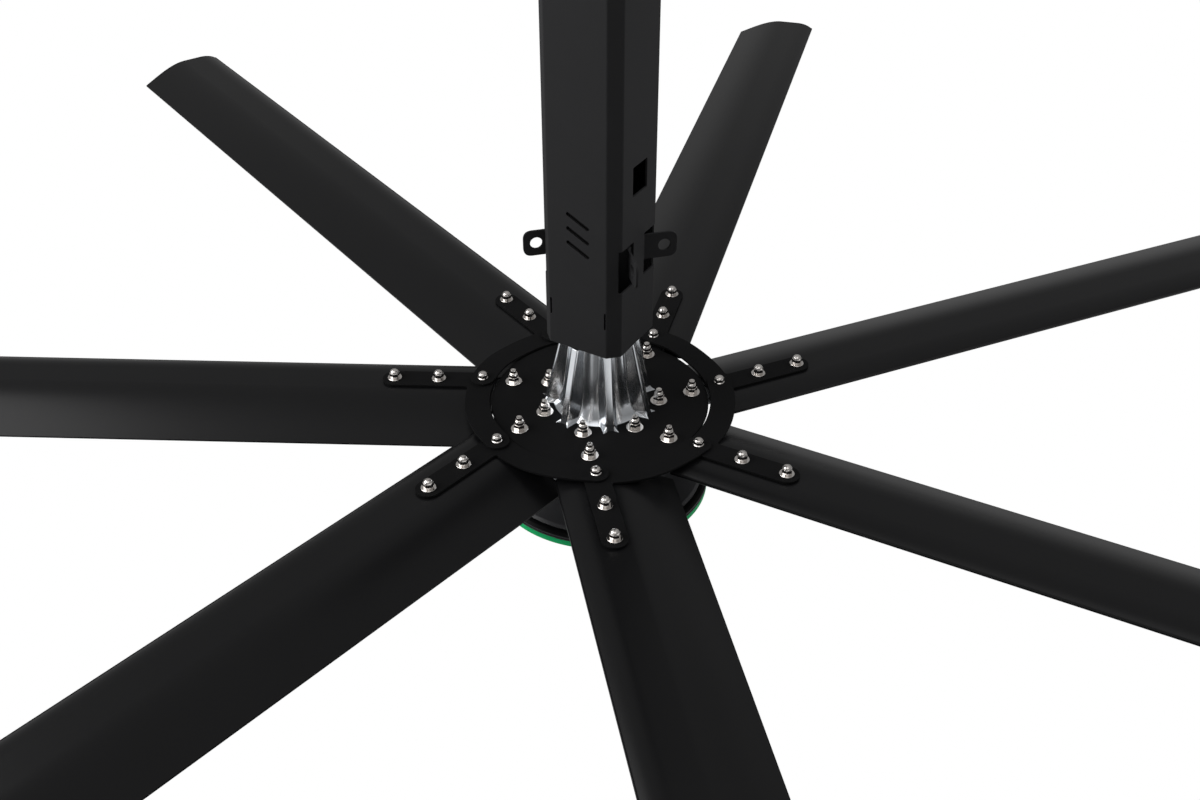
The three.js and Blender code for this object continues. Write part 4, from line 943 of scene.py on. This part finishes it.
floorMesh = bpy.data.meshes.new("floor")
floorCorners = boxAt(0, 0, 2 * room["floorHalf"], 2 * room["floorHalf"])
floorMesh.from_pydata([(p.x, p.y, room["floorZ"]) for p in floorCorners], [], [(0, 1, 2, 3)])
floor = bpy.data.objects.new("floor", floorMesh)
bpy.context.scene.collection.objects.link(floor)
white, tree, shader, place = newMaterial("white floor")
shader.inputs["Base Color"].default_value = linear(room["floorColour"])
shader.inputs["Roughness"].default_value = room["floorRough"]
ray = addNode(tree, "ShaderNodeLightPath").outputs
near, aside = [addNode(tree, "ShaderNodeVectorMath", {0: place, 1: room[way]}, operation="DOT_PRODUCT").outputs[1]
               for way in ("viewer", "aside")]
off = addNode(tree, "ShaderNodeMath", {0: aside}, operation="ABSOLUTE").outputs[0]
share, flank, ahead = [
    addNode(tree, "ShaderNodeMapRange", {"Value": value, "From Min": room[span][0], "From Max": room[span][1]})
    for value, span in ((near, "fadeSpan"), (off, "flanks"), (near, "behind"))]
fade = addNode(tree, "ShaderNodeValToRGB", {0: share.outputs[0]})
setStops(fade.color_ramp, room["floorFade"])
flanks = addNode(tree, "ShaderNodeMath", {0: flank.outputs[0], 1: ahead.outputs[0]}, operation="MULTIPLY")
graded = addNode(tree, "ShaderNodeMath", {0: fade.outputs[0], 1: flanks.outputs[0]}, operation="MAXIMUM")
shade = addNode(tree, "ShaderNodeMix", {0: ray["Is Camera Ray"], 6: graded.outputs[0], 7: pureWhite},
                data_type="RGBA")
glow = addNode(tree, "ShaderNodeEmission", {"Color": shade.outputs[2]})
seen = addNode(tree, "ShaderNodeMath", {0: ray["Is Camera Ray"], 1: ray["Is Glossy Ray"]}, operation="MAXIMUM")
above = addNode(tree, "ShaderNodeMixShader", {0: seen.outputs[0], 1: shader.outputs[0], 2: glow.outputs[0]})
# clear from below, to show the underside
below = addNode(tree, "ShaderNodeNewGeometry").outputs["Backfacing"]
clear = addNode(tree, "ShaderNodeBsdfTransparent")
either = addNode(tree, "ShaderNodeMixShader", {0: below, 1: above.outputs[0], 2: clear.outputs[0]})
tree.links.new(either.outputs[0], tree.nodes["Material Output"].inputs["Surface"])
floorMesh.materials.append(white)

world = bpy.data.worlds.new("studio")
bpy.context.scene.world = world
world.use_nodes = True
tree = world.node_tree
direction = addNode(tree, "ShaderNodeTexCoord").outputs["Generated"]
height = addNode(tree, "ShaderNodeSeparateXYZ", {0: direction}).outputs["Z"]
sky = addNode(tree, "ShaderNodeValToRGB", {0: height})
setStops(sky.color_ramp, room["sky"])
facing = addNode(tree, "ShaderNodeVectorMath", {0: direction, 1: room["softbox"]}, operation="DOT_PRODUCT")
softbox = addNode(tree, "ShaderNodeMapRange",
                  {"Value": facing.outputs["Value"], "From Min": room["softboxEdge"][0],
                   "From Max": room["softboxEdge"][1], "To Max": room["softboxLevel"]})
lit = addNode(tree, "ShaderNodeVectorMath", {0: sky.outputs[0], 1: softbox.outputs[0]}, operation="ADD")
ray = addNode(tree, "ShaderNodeLightPath").outputs
plain = addNode(tree, "ShaderNodeMix",
                {0: ray["Is Glossy Ray"], 6: (room["skyOnMatt"],) * 3 + (1,), 7: lit.outputs[0]}, data_type="RGBA")
shown = addNode(tree, "ShaderNodeMix", {0: ray["Is Camera Ray"], 6: plain.outputs[2], 7: pureWhite},
                data_type="RGBA")
tree.links.new(shown.outputs[2], tree.nodes["Background"].inputs["Color"])

# The right lamp only fills: its mirror image would lie along the blades
lamps = {"left": {"place": (-1.5, -1.5, 0.5), "watts": 58.0, "mirrored": True},
         "right": {"place": (1.4, 1.25, 0.85), "watts": 36.0, "mirrored": False}}
lampSize = 2.4
litPoint = Vector((0, 0, -0.5))
for name, given in lamps.items():
    light = bpy.data.lights.new(name, "AREA")
    light.size = lampSize
    light.energy = given["watts"]
    lamp = bpy.data.objects.new(name, light)
    lamp.location = given["place"]
    lamp.visible_glossy = given["mirrored"]
    lamp.rotation_euler = (litPoint - lamp.location).to_track_quat("-Z", "Y").to_euler()
    bpy.context.scene.collection.objects.link(lamp)

# The photograph's viewpoint
view = {"place": (0.8091, -1.3818, 0.3577), "turn": (54.088, 0.0, 30.35), "lens": 41.667, "sensor": 36.0}
cameraData = bpy.data.cameras.new("camera")
cameraData.lens = view["lens"]
cameraData.sensor_width = view["sensor"]
camera = bpy.data.objects.new("camera", cameraData)
camera.location = view["place"]
camera.rotation_euler = [math.radians(a) for a in view["turn"]]
bpy.context.scene.collection.objects.link(camera)
bpy.context.scene.camera = camera
bpy.context.scene.view_settings.view_transform = "Standard"
